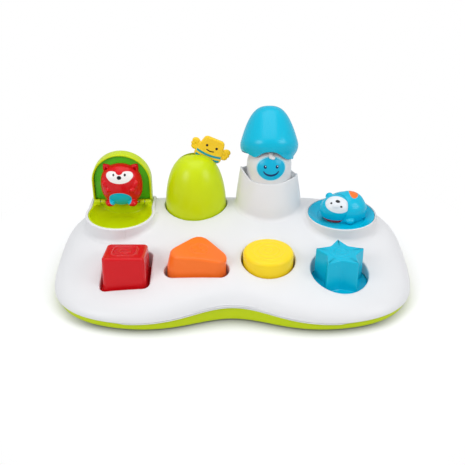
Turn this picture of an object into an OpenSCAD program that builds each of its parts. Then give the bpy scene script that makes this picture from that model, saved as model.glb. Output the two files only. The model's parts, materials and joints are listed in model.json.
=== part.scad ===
/* [Base shells] */
// Width of the base from side to side
base_w = 390; // [380:1:400]
// Depth of the base from front to back
base_d = 212; // [208:1:218]
// Depth of the waist in the middle of the front edge
waist_depth = 24.5; // [12:0.5:26]
// Reach of the waist to each side
waist_reach = 55; // [48:1:60]
// Height of the line where the white cover meets the lower shell
part_z = 11; // [10:0.5:12]
// Wall of the cover and the lower shell
wall = 2.5; // [2:0.1:2.8]
// Floor thickness of the lower shell
floor_t = 2.5; // [2:0.1:2.8]
// Overhang of the cover past the lower shell
overhang = 2.9; // [2.9:0.1:3.4]
// Height of the lip that enters the cover
lip_h = 2; // [1:0.5:4]
// Height of the rubber feet
foot_h = 1.2; // [1:0.1:1.5]
// Radius of the rubber feet
foot_r = 8; // [6:0.5:9]
// General clearance between neighbours
gap = 0.3; // [0.25:0.01:0.35]
// Running clearance of pins and shafts
run = 0.05; // [0.04:0.01:0.08]

/* [Crown of the cover] */
// Height of the crest
crest_z = 62; // [61:0.5:62]
// Place of the crest, towards the back
crest_y = 60; // [56:1:64]
// Place where the front slope begins
slope_y = 22; // [16:1:28]
// Steepness of the front slope
slope = 0.215; // [0.2:0.005:0.22]
// How fast the cover falls off to the sides, per thousand
side_fall = 0.28; // [0.2:0.01:0.32]

/* [Pods at the two ends] */
// Distance of the pods from the middle
pod_x = 123.4; // [122:0.5:125]
// Place of the pods, front to back
pod_y = 30.7; // [29:0.5:32]
// Outer radius of the pods
pod_r = 39.4; // [39:0.1:40.5]
// Height of the pod rims
pod_z = 62; // [62:0.5:64]

/* [Round hills] */
// Place of both hills, front to back
hill_y = 57.7; // [57:0.1:58.5]
// Place of the green dome
dome_x = -42.5; // [-43:0.1:-42]
// Radius of the green dome at its foot
dome_r = 35.4; // [34:0.1:35.8]
// Height of the green dome's top
dome_top = 122.5; // [120:0.5:123]
// Place of the white mountain
hill_x = 41.5; // [41:0.1:43]
// Radius of the white mountain at its foot
hill_r = 38; // [37:0.1:38.3]
// Radius of the mountain's rim
rim_r = 29.5; // [29:0.1:30]
// Height of the mountain's rim
rim_z = 105; // [104:0.5:106]
// Height at which the hills stand on their ledges
seat_z = 38; // [36:0.5:39]

/* [Buttons] */
// Travel of every button
press = 9; // [8:0.5:9]
// Thickness of the plates under the buttons
flange_t = 2; // [1.6:0.1:2.2]
// Lower end of the wells that the buttons move in
well_z = 25.8; // [25.6:0.1:26]
// Wall of the wells
well_t = 2; // [1.6:0.1:2]
// Middle of the square button, side to side
square_x = -111.4; // [-112:0.1:-111]
// Middle of the square button, front to back
square_y = -52; // [-53:0.1:-51.5]
// Width of the square button
square_w = 45; // [43:0.5:46]
// Height of the square button's front edge
square_top = 65; // [62:0.5:66]
// Backward slope of the square button's top
square_tilt = 10.5; // [8:0.5:11]
// Middle of the triangle button, side to side
triangle_x = -37.6; // [-38:0.1:-37]
// Front edge of the triangle button
triangle_y = -62; // [-63:0.1:-61.5]
// Side to side width of the triangle button
triangle_w = 63; // [60:0.5:64]
// Height of the triangle button's top
triangle_top = 57.5; // [56:0.5:59]
// Sideways slope of the triangle button's top
triangle_tilt = 7; // [5:0.5:8]
// Middle of the round button, side to side
round_x = 38; // [37.5:0.1:39]
// Middle of the round button, front to back
round_y = -38; // [-39:0.1:-37]
// Radius of the round button
round_r = 27; // [26:0.1:27.2]
// Height of the round button's top
round_top = 54; // [53:0.5:55]
// Middle of the star button, side to side
star_x = 112.6; // [112:0.1:113]
// Middle of the star button, front to back
star_y = -52; // [-53:0.1:-51.5]
// Radius of the star's points
star_r = 25.5; // [24:0.1:26]
// Radius of the star's valleys
star_in = 15; // [14:0.1:16]
// Height of the star button's top
star_top = 58; // [56:0.5:59]
// Radius of the star's hole
star_hole = 30.5; // [30:0.1:31]
// Radius of the buttons' guide posts
post_r = 3.5; // [3:0.1:3.8]

/* [Lid with the fox] */
// Width of the lid
lid_w = 68; // [66:0.5:68.5]
// Height of the lid when it stands open
lid_h = 57.8; // [57:0.1:58.5]
// Depth of the lid
lid_d = 15; // [14:0.5:15.5]
// Wall of the lid
lid_t = 2.2; // [2:0.1:2.4]
// Place of the lid's hinge, front to back
lid_y = 55.5; // [55:0.1:56]
// Height of the lid's hinge above the pod rim
lid_up = 1; // [0.9:0.1:1.2]
// Opening angle of the lid
lid_turn = 90; // [88:1:90]
// Width of the fox
fox_w = 47; // [45:0.5:48]
// Height of the fox
fox_h = 50; // [48:0.5:51]

/* [Bee] */
// Height of the bee's pivot
bee_z = 89.4; // [88.5:0.1:90]
// Place of the bee's pivot, front to back
bee_y = 64; // [63.8:0.1:64.2]
// Lean of the bee to the right
bee_lean = 23.8; // [22:0.1:25]
// Distance from the pivot to the middle of the bee
bee_reach = 40.5; // [40:0.1:41.5]
// Width of the bee across its wings
bee_w = 46; // [44:0.5:47]
// Thickness of the bee
bee_t = 5; // [4:0.1:5.2]

/* [Snow creature and cap] */
// Radius of the creature's head
head_r = 23.5; // [22.5:0.1:23.5]
// Height of the creature's top
head_top = 135; // [133:0.5:136]
// Radius of the blue face
face_r = 16.5; // [15:0.1:17]
// Radius of the cap at its rim
cap_r = 29; // [28.5:0.1:29.2]
// Greatest radius of the cap
cap_max = 32.7; // [31:0.1:33]
// Height of the cap
cap_h = 54; // [52:0.5:55]
// Wall of the cap
cap_t = 1.8; // [1.6:0.1:2]
// Angle by which the cap is open
cap_open = 28.5; // [27:0.1:29]

/* [Spinner] */
// Distance of the blue dish's edge from the outside of its pod
dish_in = 1.9; // [1.8:0.1:2.4]
// Depth of the blue dish
dish_d = 7; // [6:0.1:8]
// Length of the lying cub
cub_l = 52; // [50:0.5:53]
// Pitch radius of the pinion
gear_r = 7; // [7:1:7]
// Teeth of the pinion
gear_n = 14; // [14:1:14]

/* [Hidden] */

$fn = 48;
eps = 0.01;
lime = [0.79, 0.87, 0.05];
deep_green = [0.24, 0.64, 0.04];
sky = [0.0, 0.71, 0.84];
red = [0.76, 0.05, 0.08];
orange = [0.98, 0.47, 0.19];
yellow = [0.98, 0.85, 0.21];
steel = [0.75, 0.76, 0.78];

edge_n = 60;          // points round the base outline
flat_x = 4;           // exponents of the outline's superellipse
flat_y = 3;
floor_z = foot_h + floor_t;
flange_up = well_z - gap;                 // top of a released button's plate
spring_z = flange_up - flange_t;          // underside of a released button's plate
flange_low = flange_up - press;           // top of a pressed button's plate
lever_z = 17;                             // height of the levers' pivots
lever_t = 6;                              // height of the lever bars
lever_w = 8;                              // width of the lever bars
pin_r = 1.5;
lid_z = pod_z + lid_up;

// ---- shared shapes ----

// height of the cover's crown over a point, before its edge is rounded
function ridge(y) = y > slope_y
    ? crest_z - slope / (2 * (crest_y - slope_y)) * pow(y - crest_y, 2)
    : crest_z - slope * (crest_y - slope_y) / 2 - slope * (slope_y - y);
function crown(x, y) = ridge(y) - side_fall / 1000 * x * x;

// the base outline, drawn in by g, anticlockwise from the left end
function side_y(x, hw, hd) = hd * pow(max(0, 1 - pow(abs(x) / hw, flat_x)), 1 / flat_y);
function waist(x) = waist_depth * exp(-pow(x / waist_reach, 2));
// depth of the front half before its waist is cut, so that its lobes reach half of base_d
front_d = min([for (i = [-60 : 2 : 60])
    let (x = base_w / 2 * sin(i)) (base_d / 2 + waist(x)) / side_y(x, base_w / 2, 1)]);
function edge_point(i, g) =
    let (hw = base_w / 2 - g, half = edge_n / 2)
    i < half
        ? let (x = hw * sin(-90 + 180 * i / half)) [x, -side_y(x, hw, front_d - g) + waist(x)]
        : let (x = hw * sin(90 - 180 * (i - half) / half)) [x, side_y(x, hw, base_d / 2 - g)];
function outline(g) = [for (i = [0 : edge_n - 1]) edge_point(i, g)];

// corners rounded with radius r about the given centres, anticlockwise
function rounded(c, r, n = 6) = [
    for (i = [0 : len(c) - 1])
        let (p = c[(i + len(c) - 1) % len(c)], q = c[i], s = c[(i + 1) % len(c)],
             a = atan2(q[1] - p[1], q[0] - p[0]) - 90,
             b = atan2(s[1] - q[1], s[0] - q[0]) - 90,
             turn = b < a ? b + 360 - a : b - a)
            for (k = [0 : n]) q + r * [cos(a + turn * k / n), sin(a + turn * k / n)]];
function box_corners(x0, x1, y0, y1) = [[x0, y0], [x1, y0], [x1, y1], [x0, y1]];
function tri_corners(x, y, w, r, d) = [[x - w / 2 + r, y + r], [x + w / 2 - r, y + r], [x, y + d - r]];

// quads between rings of n points, and fans that close both ends
function skin(n, rings) = concat(
    [for (j = [0 : rings - 2]) for (i = [0 : n - 1]) [j * n + i, j * n + (i + 1) % n, (j + 1) * n + i]],
    [for (j = [0 : rings - 2]) for (i = [0 : n - 1])
        [j * n + (i + 1) % n, (j + 1) * n + (i + 1) % n, (j + 1) * n + i]]);

// the closed form under the cover's surface, drawn in by g
module cover_form(g, rings) {
    low = part_z - (g > 0 ? 1 : 0);
    line = outline(g);
    function ring(s) = [for (p = line)
        let (x = s * p[0], y = s * p[1],
             end = pow(min(1, abs(p[0]) / (base_w / 2)), 2),
             power = (p[1] > 0 ? 6 : 8) * (1 - end) + 12 * end,
             top = crown(x, y) - g)
            [x, y, part_z + (top - part_z) * sqrt(max(0, 1 - pow(s, power)))]];
    body = [for (k = [rings : -1 : 1]) each ring(sin(90 * k / rings))];
    foot = [for (p = line) [p[0], p[1], low]];
    points = concat(g > 0 ? foot : [], body, [[0, 0, low], [0, 0, crown(0, 0) - g]]);
    count = rings + (g > 0 ? 1 : 0);
    last = (count - 1) * edge_n;
    faces = concat(
        skin(edge_n, count),
        [for (i = [0 : edge_n - 1]) [(i + 1) % edge_n, i, count * edge_n]],
        [for (i = [0 : edge_n - 1]) [last + i, last + (i + 1) % edge_n, count * edge_n + 1]]);
    polyhedron(points, [for (f = faces) [f[2], f[1], f[0]]], convexity = 6);
}

// a prism whose corners are rounded about the given centres
module hulled(corners, r, z0, z1) {
    hull() {
        for (c = corners) translate([c[0], c[1], z0]) cylinder(h = z1 - z0, r = r, $fn = 24);
    }
}

module tube(r, bore, z0, z1) {
    translate([0, 0, z0]) difference() {
        cylinder(h = z1 - z0, r = r);
        translate([0, 0, -1]) cylinder(h = z1 - z0 + 2, r = bore);
    }
}

module rod(r, z0, z1) {
    translate([0, 0, z0]) cylinder(h = z1 - z0, r = r);
}

// a round bar along X or along Y
module bar_x(x0, x1, r) {
    translate([x0, 0, 0]) rotate([0, 90, 0]) cylinder(h = x1 - x0, r = r);
}
module bar_y(y0, y1, r) {
    translate([0, y0, 0]) rotate([-90, 0, 0]) cylinder(h = y1 - y0, r = r);
}

module block(x0, x1, y0, y1, z0, z1) {
    translate([x0, y0, z0]) cube([x1 - x0, y1 - y0, z1 - z0]);
}

// wire wound in a round coil along Z
module coil(r, wire, h, turns) {
    sides = 6;
    steps = 8 * turns;
    points = [for (i = [0 : steps]) for (k = [0 : sides - 1])
        let (a = 360 * i / 8, b = 360 * k / sides, q = r + wire * cos(b))
            [q * cos(a), q * sin(a), wire + (h - 2 * wire) * i / steps + wire * sin(b)]];
    polyhedron(points, concat(
        [for (f = skin(sides, steps + 1)) f],
        [for (k = [1 : sides - 2]) [0, k + 1, k]],
        [for (k = [1 : sides - 2]) [steps * sides, steps * sides + k, steps * sides + k + 1]]));
}

// ---- the case ----

square_r = 7;                             // corner radius of the square hole
square_gap = 3.5;                         // space round the square button
tri_r = 10;                               // corner radius of the triangle hole
tri_gap = 2.8;                            // space round the triangle button
tri_d = 49;                               // depth of the triangle button
round_gap = 1.8;
hill_gap = 0.7;                           // ring of space round the hills' feet

square_hole = box_corners(square_x - square_w / 2 - square_gap + square_r,
                          square_x + square_w / 2 + square_gap - square_r,
                          square_y - square_w / 2 - square_gap + square_r,
                          square_y + square_w / 2 + square_gap - square_r);
tri_hole = tri_corners(triangle_x, triangle_y - tri_gap, triangle_w + 2 * tri_gap, tri_r,
                       tri_d + 2.6 * tri_gap);

// the tray's outline: a half round front with straight sides behind
tray_r = pod_r - 3.4;                     // radius of the tray's rim
tray_side = tray_r - 1.6;                 // half width of the tray's straight part
tray_back = lid_y + 14.5;                 // back edge of the tray
module tray_plan(g, z0, z1, sides = 48) {
    translate([-pod_x, pod_y, z0]) cylinder(h = z1 - z0, r = tray_r + g, $fn = sides);
    translate([-pod_x, 0, z0]) linear_extrude(z1 - z0)
        polygon(rounded(box_corners(-tray_side - g + 8, tray_side + g - 8, pod_y + 8, tray_back + g - 8), 8));
}
tray_rim = 4;                             // height of the tray's rim plate
bowl_r = tray_r - 4.8;                    // inner radius of the tray's bowl
bowl_z = pod_z - 16.5;                    // floor of the tray's bowl
bowl_t = 1.8;

end_in = 23;                              // the end screws, from the ends of the base
rear_in = 14;                             // the rear screws, from the back of the base
rear_x = 76;                              // the rear screws, between the pods and the hills
middle_in = 18;                           // the rear middle screw, from the back of the base
middle_y = -14;                           // the screw in the middle
boss_at = [[-base_w / 2 + end_in, -22], [base_w / 2 - end_in, -22],
           [-rear_x, base_d / 2 - rear_in], [rear_x, base_d / 2 - rear_in],
           [0, middle_y], [-1, base_d / 2 - middle_in]];
boss_r = 4.5;
boss_z = 7;                               // where the bosses of both shells meet
screw_r = 1.5;
head_r0 = 3;                              // radius of the screws' heads
screw_top = 20;

module socket_ring(x, y, r, z0) {
    // the tube that a hill or dish stands in, with a ledge at its lower end
    translate([x, y, 0]) tube(r + well_t, r - 2.2, z0 - 2, z0);
    translate([x, y, 0]) tube(r + well_t, r, z0 - eps, 80);
}

hill_hole = hill_r + hill_gap;
dome_hole = dome_r + hill_gap;
dish_r = pod_r - dish_in;
dish_hole = dish_r + 0.5;
dish_floor = pod_z - dish_d - 3;          // floor of the right pod's recess

module cover_walls() {
    // wells that the buttons move in
    hulled(square_hole, square_r + well_t, well_z, 80);
    hulled(tri_hole, tri_r + well_t, well_z, 80);
    translate([round_x, round_y, 0]) rod(round_r + round_gap + well_t, well_z, 80);
    translate([star_x, star_y, 0]) rod(star_hole + well_t, well_z, 80);
    socket_ring(dome_x, hill_y, dome_hole, seat_z);
    socket_ring(hill_x, hill_y, hill_hole, seat_z);
    for (b = boss_at) hull() {
        translate([b[0], b[1], boss_z]) cylinder(h = 1, r = boss_r, $fn = 14);
        translate([b[0], b[1], 70]) cylinder(h = 1, r = boss_r + 1.5, $fn = 14);
    }
    // floor of the dish's recess, and the wall under the left pod
    translate([pod_x, pod_y, 0]) rod(pod_r - 1, dish_floor - wall, dish_floor);
}

module pod_walls() {
    // right pod, with a soft flare at its foot
    translate([pod_x, pod_y, 0]) rotate_extrude($fn = 48)
        polygon([[dish_hole, 44], [pod_r + 7, 44], [pod_r + 3, 52], [pod_r + 0.8, 57],
                 [pod_r, 61], [pod_r - 0.5, pod_z - 0.3], [pod_r - 0.8, pod_z], [dish_hole, pod_z]]);
    // left pod, which follows the tray's outline
    hull() {
        tray_plan(2.9, pod_z - 1, pod_z, 40);
        tray_plan(3.4, 58, 61, 40);
    }
    hull() {
        tray_plan(3.4, 58, 59, 40);
        tray_plan(7.5, 48, 49, 40);
    }
}

module top_cover() {
    $fn = 36;
    color("white") difference() {
        union() {
            difference() {
                union() {
                    cover_form(0, 9);
                    pod_walls();
                }
                cover_form(wall, 5);
            }
            intersection() {
                cover_form(0, 9);
                cover_walls();
            }
            intersection() {
                // skirts of the pods, inside the cover
                union() {
                    tray_plan(3, seat_z, pod_z - 2);
                    translate([pod_x, pod_y, 0]) rod(pod_r - 0.5, dish_floor - wall, pod_z - 2);
                }
                cover_form(0, 9);
            }
        }
        hulled(square_hole, square_r, 10, 90);
        hulled(tri_hole, tri_r, 10, 90);
        translate([round_x, round_y, 0]) rod(round_r + round_gap, 10, 90);
        translate([star_x, star_y, 0]) rod(star_hole, 10, 90);
        translate([dome_x, hill_y, 0]) rod(dome_hole, seat_z, 90);
        translate([hill_x, hill_y, 0]) rod(hill_hole, seat_z, 90);
        translate([dome_x, hill_y, 0]) rod(dome_hole - 2.2, 12, 90);
        translate([hill_x, hill_y, 0]) rod(hill_hole - 2.2, 12, 90);
        tray_plan(gap, pod_z - tray_rim, 90);
        tray_plan(-2.6, 12, 90);
        // room for the latch behind the left pod's front wall
        block(-pod_x - latch_w, -pod_x + latch_w, pod_y - tray_r - 1.8, pod_y - tray_r + 6, 12, pod_z - 1.6);
        translate([pod_x, pod_y, 0]) rod(dish_hole, dish_floor, 90);
        translate([pod_x, pod_y, 0]) rod(bush_r + 0.1, 12, 90);
        for (b = boss_at) translate([b[0], b[1], 0]) rod(screw_r + 0.2, boss_z - 1, 24);
    }
}

post_top = 40;
post_gap = 0.3;                           // sliding space round the guide posts
tri_posts = [[triangle_x - 16, triangle_y + 10], [triangle_x + 16, triangle_y + 10]];
round_posts = [[round_x - 15, round_y - 8], [round_x + 15, round_y - 8]];
tri_lever_x = -48;                        // middle of the triangle button's lever
tri_pivot_y = 13;
tri_nose_y = -34;                         // where the lever's nose lifts the button
pushrod_y = 68;
round_lever_x = round_x;
round_pivot_y = -6;
round_nose_y = round_y;
latch_y = pod_y - tray_r + 1.1;           // pivot of the lid's latch
latch_z = 31;
latch_w = 6;
latch_t = 1.6;                            // thickness of the latch's blade
latch_low = 8;                            // underside of the latch's foot
hook_z = pod_z - 2.2;                     // top of the latch's hook
hook_y = latch_y + 2.3;                   // end of the latch's hook
bush_r = 9;                               // outer radius of the spindle's bush
shaft_r = 4;
gear_z = 8;                               // underside of the pinion
gear_h = 6;
rack_x = pod_x - gear_r;                  // pitch line of the rack
rack_w = 9;
lug_t = 3;                                // thickness of the lugs that hold the pivot pins
lug_gap = 0.6;
lug_r = 4;                                // rounding of the lugs round their bores
lug_out = lever_w / 2 + lug_gap + lug_t;  // outer faces of the levers' lugs

// a pair of lugs with a bore along X, on the floor of the lower shell
module lugs(x, y, z, w) {
    for (s = [-1, 1]) translate([x + s * (w / 2 + lug_gap + lug_t / 2), y, 0]) difference() {
        union() {
            block(-lug_t / 2, lug_t / 2, -lug_r, lug_r, floor_z - 0.5, z);
            translate([0, 0, z]) bar_x(-lug_t / 2, lug_t / 2, lug_r);
        }
        translate([0, 0, z]) bar_x(-lug_t, lug_t, pin_r + run);
    }
}

module bottom_shell() {
    color(lime) difference() {
        union() {
            translate([0, 0, foot_h]) linear_extrude(base_step) polygon(outline(overhang + 3));
            difference() {
                translate([0, 0, foot_h + base_step]) linear_extrude(part_z - foot_h - base_step)
                    polygon(outline(overhang));
                translate([0, 0, floor_z]) linear_extrude(part_z) polygon(outline(overhang + wall));
            }
            translate([0, 0, part_z - 2]) linear_extrude(lip_h + 2) difference() {
                polygon(outline(overhang + 1));
                polygon(outline(overhang + wall));
            }
            for (b = boss_at) translate([b[0], b[1], 0]) rod(boss_r + 1.5, foot_h + 0.5, boss_z);
            translate([square_x, square_y, 0]) rod(post_r, floor_z - 0.5, post_top);
            translate([star_x, star_y, 0]) rod(post_r, floor_z - 0.5, post_top);
            for (p = concat(tri_posts, round_posts))
                translate([p[0], p[1], 0]) rod(post_r - 0.5, floor_z - 0.5, post_top);
            lugs(tri_lever_x, tri_pivot_y, lever_z, lever_w);
            lugs(round_lever_x, round_pivot_y, lever_z, lever_w);
            lugs(-pod_x, latch_y, latch_z, latch_w);
            // socket for the spindle and rails for the rack
            translate([pod_x, pod_y, 0]) rod(shaft_r + 3, floor_z - 0.5, gear_z - gap);
            for (s = [-1, 1]) translate([rack_mid + s * (rack_w / 2 + gap + rail_t / 2), 0, 0])
                block(-rail_t / 2, rail_t / 2, -rail_end, rail_end, floor_z - 0.5, floor_z + 4);
        }
        for (b = boss_at) {
            translate([b[0], b[1], 0]) rod(screw_r + 0.2, -1, boss_z + 1);
            translate([b[0], b[1], 0]) rod(head_r0 + gap, -1, foot_h + 3);
        }
        translate([pod_x, pod_y, 0]) rod(shaft_r + run, floor_z, gear_z + 1);
    }
}
rack_mid = rack_x - 1.3 - rack_w / 2;     // middle of the rack's bar
rail_t = 2;                               // thickness of the rack's rails
rail_end = 12;                            // half their length
base_step = 1.2;                          // height of the small step round the underside

foot_in = 55;                             // feet, from the ends of the base
foot_back = 36;                           // feet, from its front and back
module rubber_feet() {
    color([0.25, 0.25, 0.25]) for (s = [-1, 1]) for (e = [-1, 1])
        translate([s * (base_w / 2 - foot_in), e * (base_d / 2 - foot_back), 0]) rod(foot_r, 0, foot_h);
}

module case_screws() {
    color(steel) for (b = boss_at) translate([b[0], b[1], 0]) {
        rod(head_r0, foot_h + 1, foot_h + 3);
        rod(screw_r, foot_h + 2, screw_top);
    }
}

// ---- left pod: tray, lid and fox ----

ear_out = tray_side - 3.4;                // hinge ears of the tray, from the middle
ear_in = ear_out - 5.2;
lid_lug_out = ear_in - 0.6;
lid_lug_in = lid_lug_out - 5.2;
tab_w = 3;                                // half width of the lid's tab
ear_r = 3.1;                              // rounding of the ears
tab_room = tab_w + 1;
bowl_top = pod_z - 5.2;                   // lower end of the slot for the tab

module lid_axis() { translate([-pod_x, lid_y, lid_z]) children(); }
// moves children that start at x = 0 to the span from a to b, on side s of the middle
module span_x(s, a, b) { translate([s > 0 ? a : -b, 0, 0]) children(); }

module fox_tray() {
    color(lime) difference() {
        union() {
            tray_plan(0, pod_z - tray_rim, pod_z);
            intersection() {
                translate([-pod_x, pod_y, 0]) rod(bowl_r + bowl_t, bowl_z - bowl_t, pod_z - 1);
                block(-pod_x - 50, -pod_x + 50, pod_y - 50, lid_y + 3, 0, 90);
            }
            for (s = [-1, 1]) lid_axis() span_x(s, ear_in, ear_out) {
                bar_x(0, ear_out - ear_in, ear_r);
                block(0, ear_out - ear_in, -ear_r, ear_r, -lid_up - 1, 0);
            }
        }
        intersection() {
            translate([-pod_x, pod_y, 0]) rod(bowl_r, bowl_z, 90);
            block(-pod_x - 50, -pod_x + 50, pod_y - 50, lid_y + 1.4, 0, 90);
        }
        lid_axis() bar_x(-40, 40, pin_r + run);
        // notches for the lid's lugs and for its tab, and room for the latch
        for (s = [-1, 1]) lid_axis()
            span_x(s, lid_lug_in - 0.5, lid_lug_out + 0.5)
                block(0, lid_lug_out - lid_lug_in + 1, -3.4, 3.6, -3.3, 9);
        block(-pod_x - tab_room, -pod_x + tab_room, pod_y - tray_r - 2, hook_y + 3.5, bowl_top, pod_z - 0.8);
        block(-pod_x - tab_room, -pod_x + tab_room, hook_y, hook_y + 3.5, bowl_top, 90);
    }
}

module lid_outline(g, y0, y1) {
    // the lid's arched outline, standing, drawn in by g
    r = lid_w / 2;
    base = pod_z + 0.7;
    translate([-pod_x, y1, 0]) rotate([90, 0, 0]) linear_extrude(y1 - y0) intersection() {
        union() {
            translate([-r + g, base + g]) square([2 * r - 2 * g, lid_h - r - g]);
            translate([0, base + lid_h - r]) circle(r = r - g, $fn = 96);
        }
        translate([-r, base + g]) square([2 * r, 2 * lid_h]);
    }
}
lid_front = lid_y - lid_up + 0.4;         // the lid's open rim

module lid_shell() {
    color(lime) difference() {
        union() {
            difference() {
                lid_outline(0, lid_front, lid_front + lid_d);
                lid_outline(lid_t, lid_front - 1, lid_front + lid_d - lid_t);
            }
            for (s = [-1, 1]) lid_axis() span_x(s, lid_lug_in, lid_lug_out)
                bar_x(0, lid_lug_out - lid_lug_in, 2.8);
            // tab that the latch holds
            translate([-pod_x, lid_front, pod_z + lid_h]) block(-tab_w, tab_w, -4.8, 2, -1.8, 0);
        }
        lid_axis() bar_x(-40, 40, pin_r + run);
        for (s = [-1, 1]) lid_axis() span_x(s, ear_in - 0.5, ear_out + 0.5)
            bar_x(0, ear_out - ear_in + 1, ear_r + 2 * gap);
    }
}

liner_t = 1.5;
fox_back = lid_front + lid_d - lid_t - liner_t;
module lid_liner() {
    color(deep_green) lid_outline(lid_t + 0.2, fox_back, fox_back + liner_t);
}

module lid_hinge_pin() {
    color(steel) lid_axis() {
        bar_x(-ear_out + 0.4, -lid_lug_in + 0.6, pin_r);
        bar_x(lid_lug_in - 0.6, ear_out - 0.4, pin_r);
    }
}

module lid_spring() {
    color(steel) translate([-pod_x + lid_lug_in - 1, lid_y, lid_z]) rotate([0, -90, 0])
        coil(1.2, 0.3, 4, 4);
}

// a pear that stands on z0, as a body of revolution
function pear(r, h, n = 20) = concat([[0, 0]],
    [for (i = [1 : n - 1]) let (t = i / n) [r * pow(1 - pow(abs(2 * t - 0.92) / 1.08, 2.5), 0.5), h * t]],
    [[0, h]]);

fox_axis = fox_back - 2.7;
fox_foot = pod_z + 1.3;
module fox_body() {
    color(red) translate([-pod_x - 1, 0, 0]) difference() {
        union() {
            translate([0, fox_axis, fox_foot]) rotate_extrude() polygon(pear(fox_w / 2, fox_h));
            for (s = [-1, 1]) {
                translate([s * 11, fox_axis - 15.5, fox_foot + 4]) sphere(r = 6);
                translate([s * 16.5, fox_axis - 1.5, fox_foot + fox_h - 6.5]) sphere(r = 4);
                translate([s * 12, fox_axis - 17.5, fox_foot + 22]) sphere(r = 4.5);
            }
        }
        block(-40, 40, fox_back, fox_back + 40, 40, 140);
        block(-40, 40, 20, 90, 40, fox_foot);
        block(-40, 40, lid_front - 0.4, 90, 40, pod_z + 0.7 + lid_t + 0.3);
    }
}

module lid_latch() {
    color(lime) translate([-pod_x - latch_w / 2, 0, 0]) difference() {
        union() {
            block(0, latch_w, latch_y - 1.8, latch_y + 1.8, latch_low, latch_z + 5);
            translate([0, latch_y, latch_z]) bar_x(0, latch_w, 3.4);
            block(0, latch_w, latch_y - latch_t / 2, latch_y + latch_t / 2, latch_z + 4, hook_z);
            block(0, latch_w, latch_y - latch_t / 2, hook_y, hook_z - latch_t, hook_z);
            block(0, latch_w, latch_foot, latch_y, latch_low, latch_low + 4);
        }
        translate([0, latch_y, latch_z]) bar_x(-20, 20, pin_r + run);
    }
}

latch_pin_w = latch_w / 2 + lug_gap + lug_t - 0.2;      // half the length of the latch's pin
module latch_pin() {
    color(steel) translate([-pod_x, latch_y, latch_z]) bar_x(-latch_pin_w, latch_pin_w, pin_r);
}

// ---- square button ----

square_flange = square_w / 2 + square_gap + 0.8;        // half width of its plate
latch_foot = square_y + square_flange - 0.7;
rib_face = -latch_foot + gap;             // the rib that moves the latch, at the level of the latch's foot
rib_low = floor_z + press + gap;          // its lower end, which stays clear of the floor when pressed
rib_lean = 0.075;                         // slope of its face
module square_button() {
    color(red) difference() {
        union() {
            translate([square_x, square_y, spring_z]) linear_extrude(flange_t)
                polygon(rounded(box_corners(-square_flange + square_r, square_flange - square_r,
                                            -square_flange + square_r, square_flange - square_r), square_r));
            difference() {
                translate([square_x, square_y, spring_z]) linear_extrude(60) polygon(square_plan(0));
                translate([square_x, square_y, spring_z - 1]) linear_extrude(27) polygon(square_plan(2.5));
                translate([square_x, square_y - square_w / 2, square_top]) rotate([-square_tilt, 0, 0])
                    block(-50, 50, -50, 90, 0, 60);
            }
            translate([square_x, square_y, 0]) rod(post_r + 2.3, spring_z, 52);
            // rib that moves the latch
            translate([-pod_x + latch_w / 2, 0, 0]) rotate([90, 0, -90]) linear_extrude(latch_w)
                polygon([[rib_face + 5, spring_z + 1],
                         [rib_face - rib_lean * (spring_z + 1 - rib_low), spring_z + 1],
                         [rib_face, rib_low], [rib_face + 5, rib_low]]);
        }
        translate([square_x, square_y, 0]) rod(post_r + post_gap, 0, 50);
    }
}
function square_plan(g) = rounded(box_corners(-square_w / 2 + 4, square_w / 2 - 4,
                                              -square_w / 2 + 4, square_w / 2 - 4), 4 - g);

module square_spring() {
    color(steel) translate([square_x, square_y, floor_z + 0.1])
        coil(post_r + 1.6, 0.6, spring_z - floor_z - 0.2, 6);
}
module star_spring() {
    color(steel) translate([star_x, star_y, floor_z + 0.1])
        coil(post_r + 1.6, 0.6, spring_z - floor_z - 0.2, 6);
}

// ---- triangle button, its lever and the bee ----

nose_r = lever_t / 2;
nose_z = flange_low - flange_t - gap - nose_r;      // middle of a lever's nose, button pressed

// a lever bar from its nose, over its pivot, to the pin at its rear
module lever(x, y0, yp, y1) {
    a = atan2(lever_z - nose_z, yp - y0);
    translate([x, yp, lever_z]) rotate([a, 0, 0]) difference() {
        union() {
            block(-lever_w / 2, lever_w / 2, (y0 - yp) / cos(a), (y1 - yp) / cos(a), -nose_r, nose_r / 2);
            for (y = [(y0 - yp) / cos(a), 0, (y1 - yp) / cos(a)])
                translate([0, y, 0]) bar_x(-lever_w / 2, lever_w / 2, nose_r);
            children();
        }
        bar_x(-20, 20, pin_r + run);
    }
}
// sleeve of a low button round a guide post, and its bore
module sleeve(p, bore) {
    translate([p[0], p[1], 0]) if (bore > 0) rod(post_r - 0.5 + post_gap, 0, post_top + 2);
    else rod(post_r + 1.6, flange_low - flange_t, post_top + 4);
}
// notch in a button's plate and skirt that its lever passes through
module lever_notch(x, y) {
    block(x - lever_w / 2 - 1.2, x + lever_w / 2 + 1.2, y + 6, y + 80, 0, lever_z + nose_r + 1.5);
}
function lever_rear_z(y0, yp, y1) = lever_z + (lever_z - nose_z) * (y1 - yp) / (yp - y0);

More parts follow.
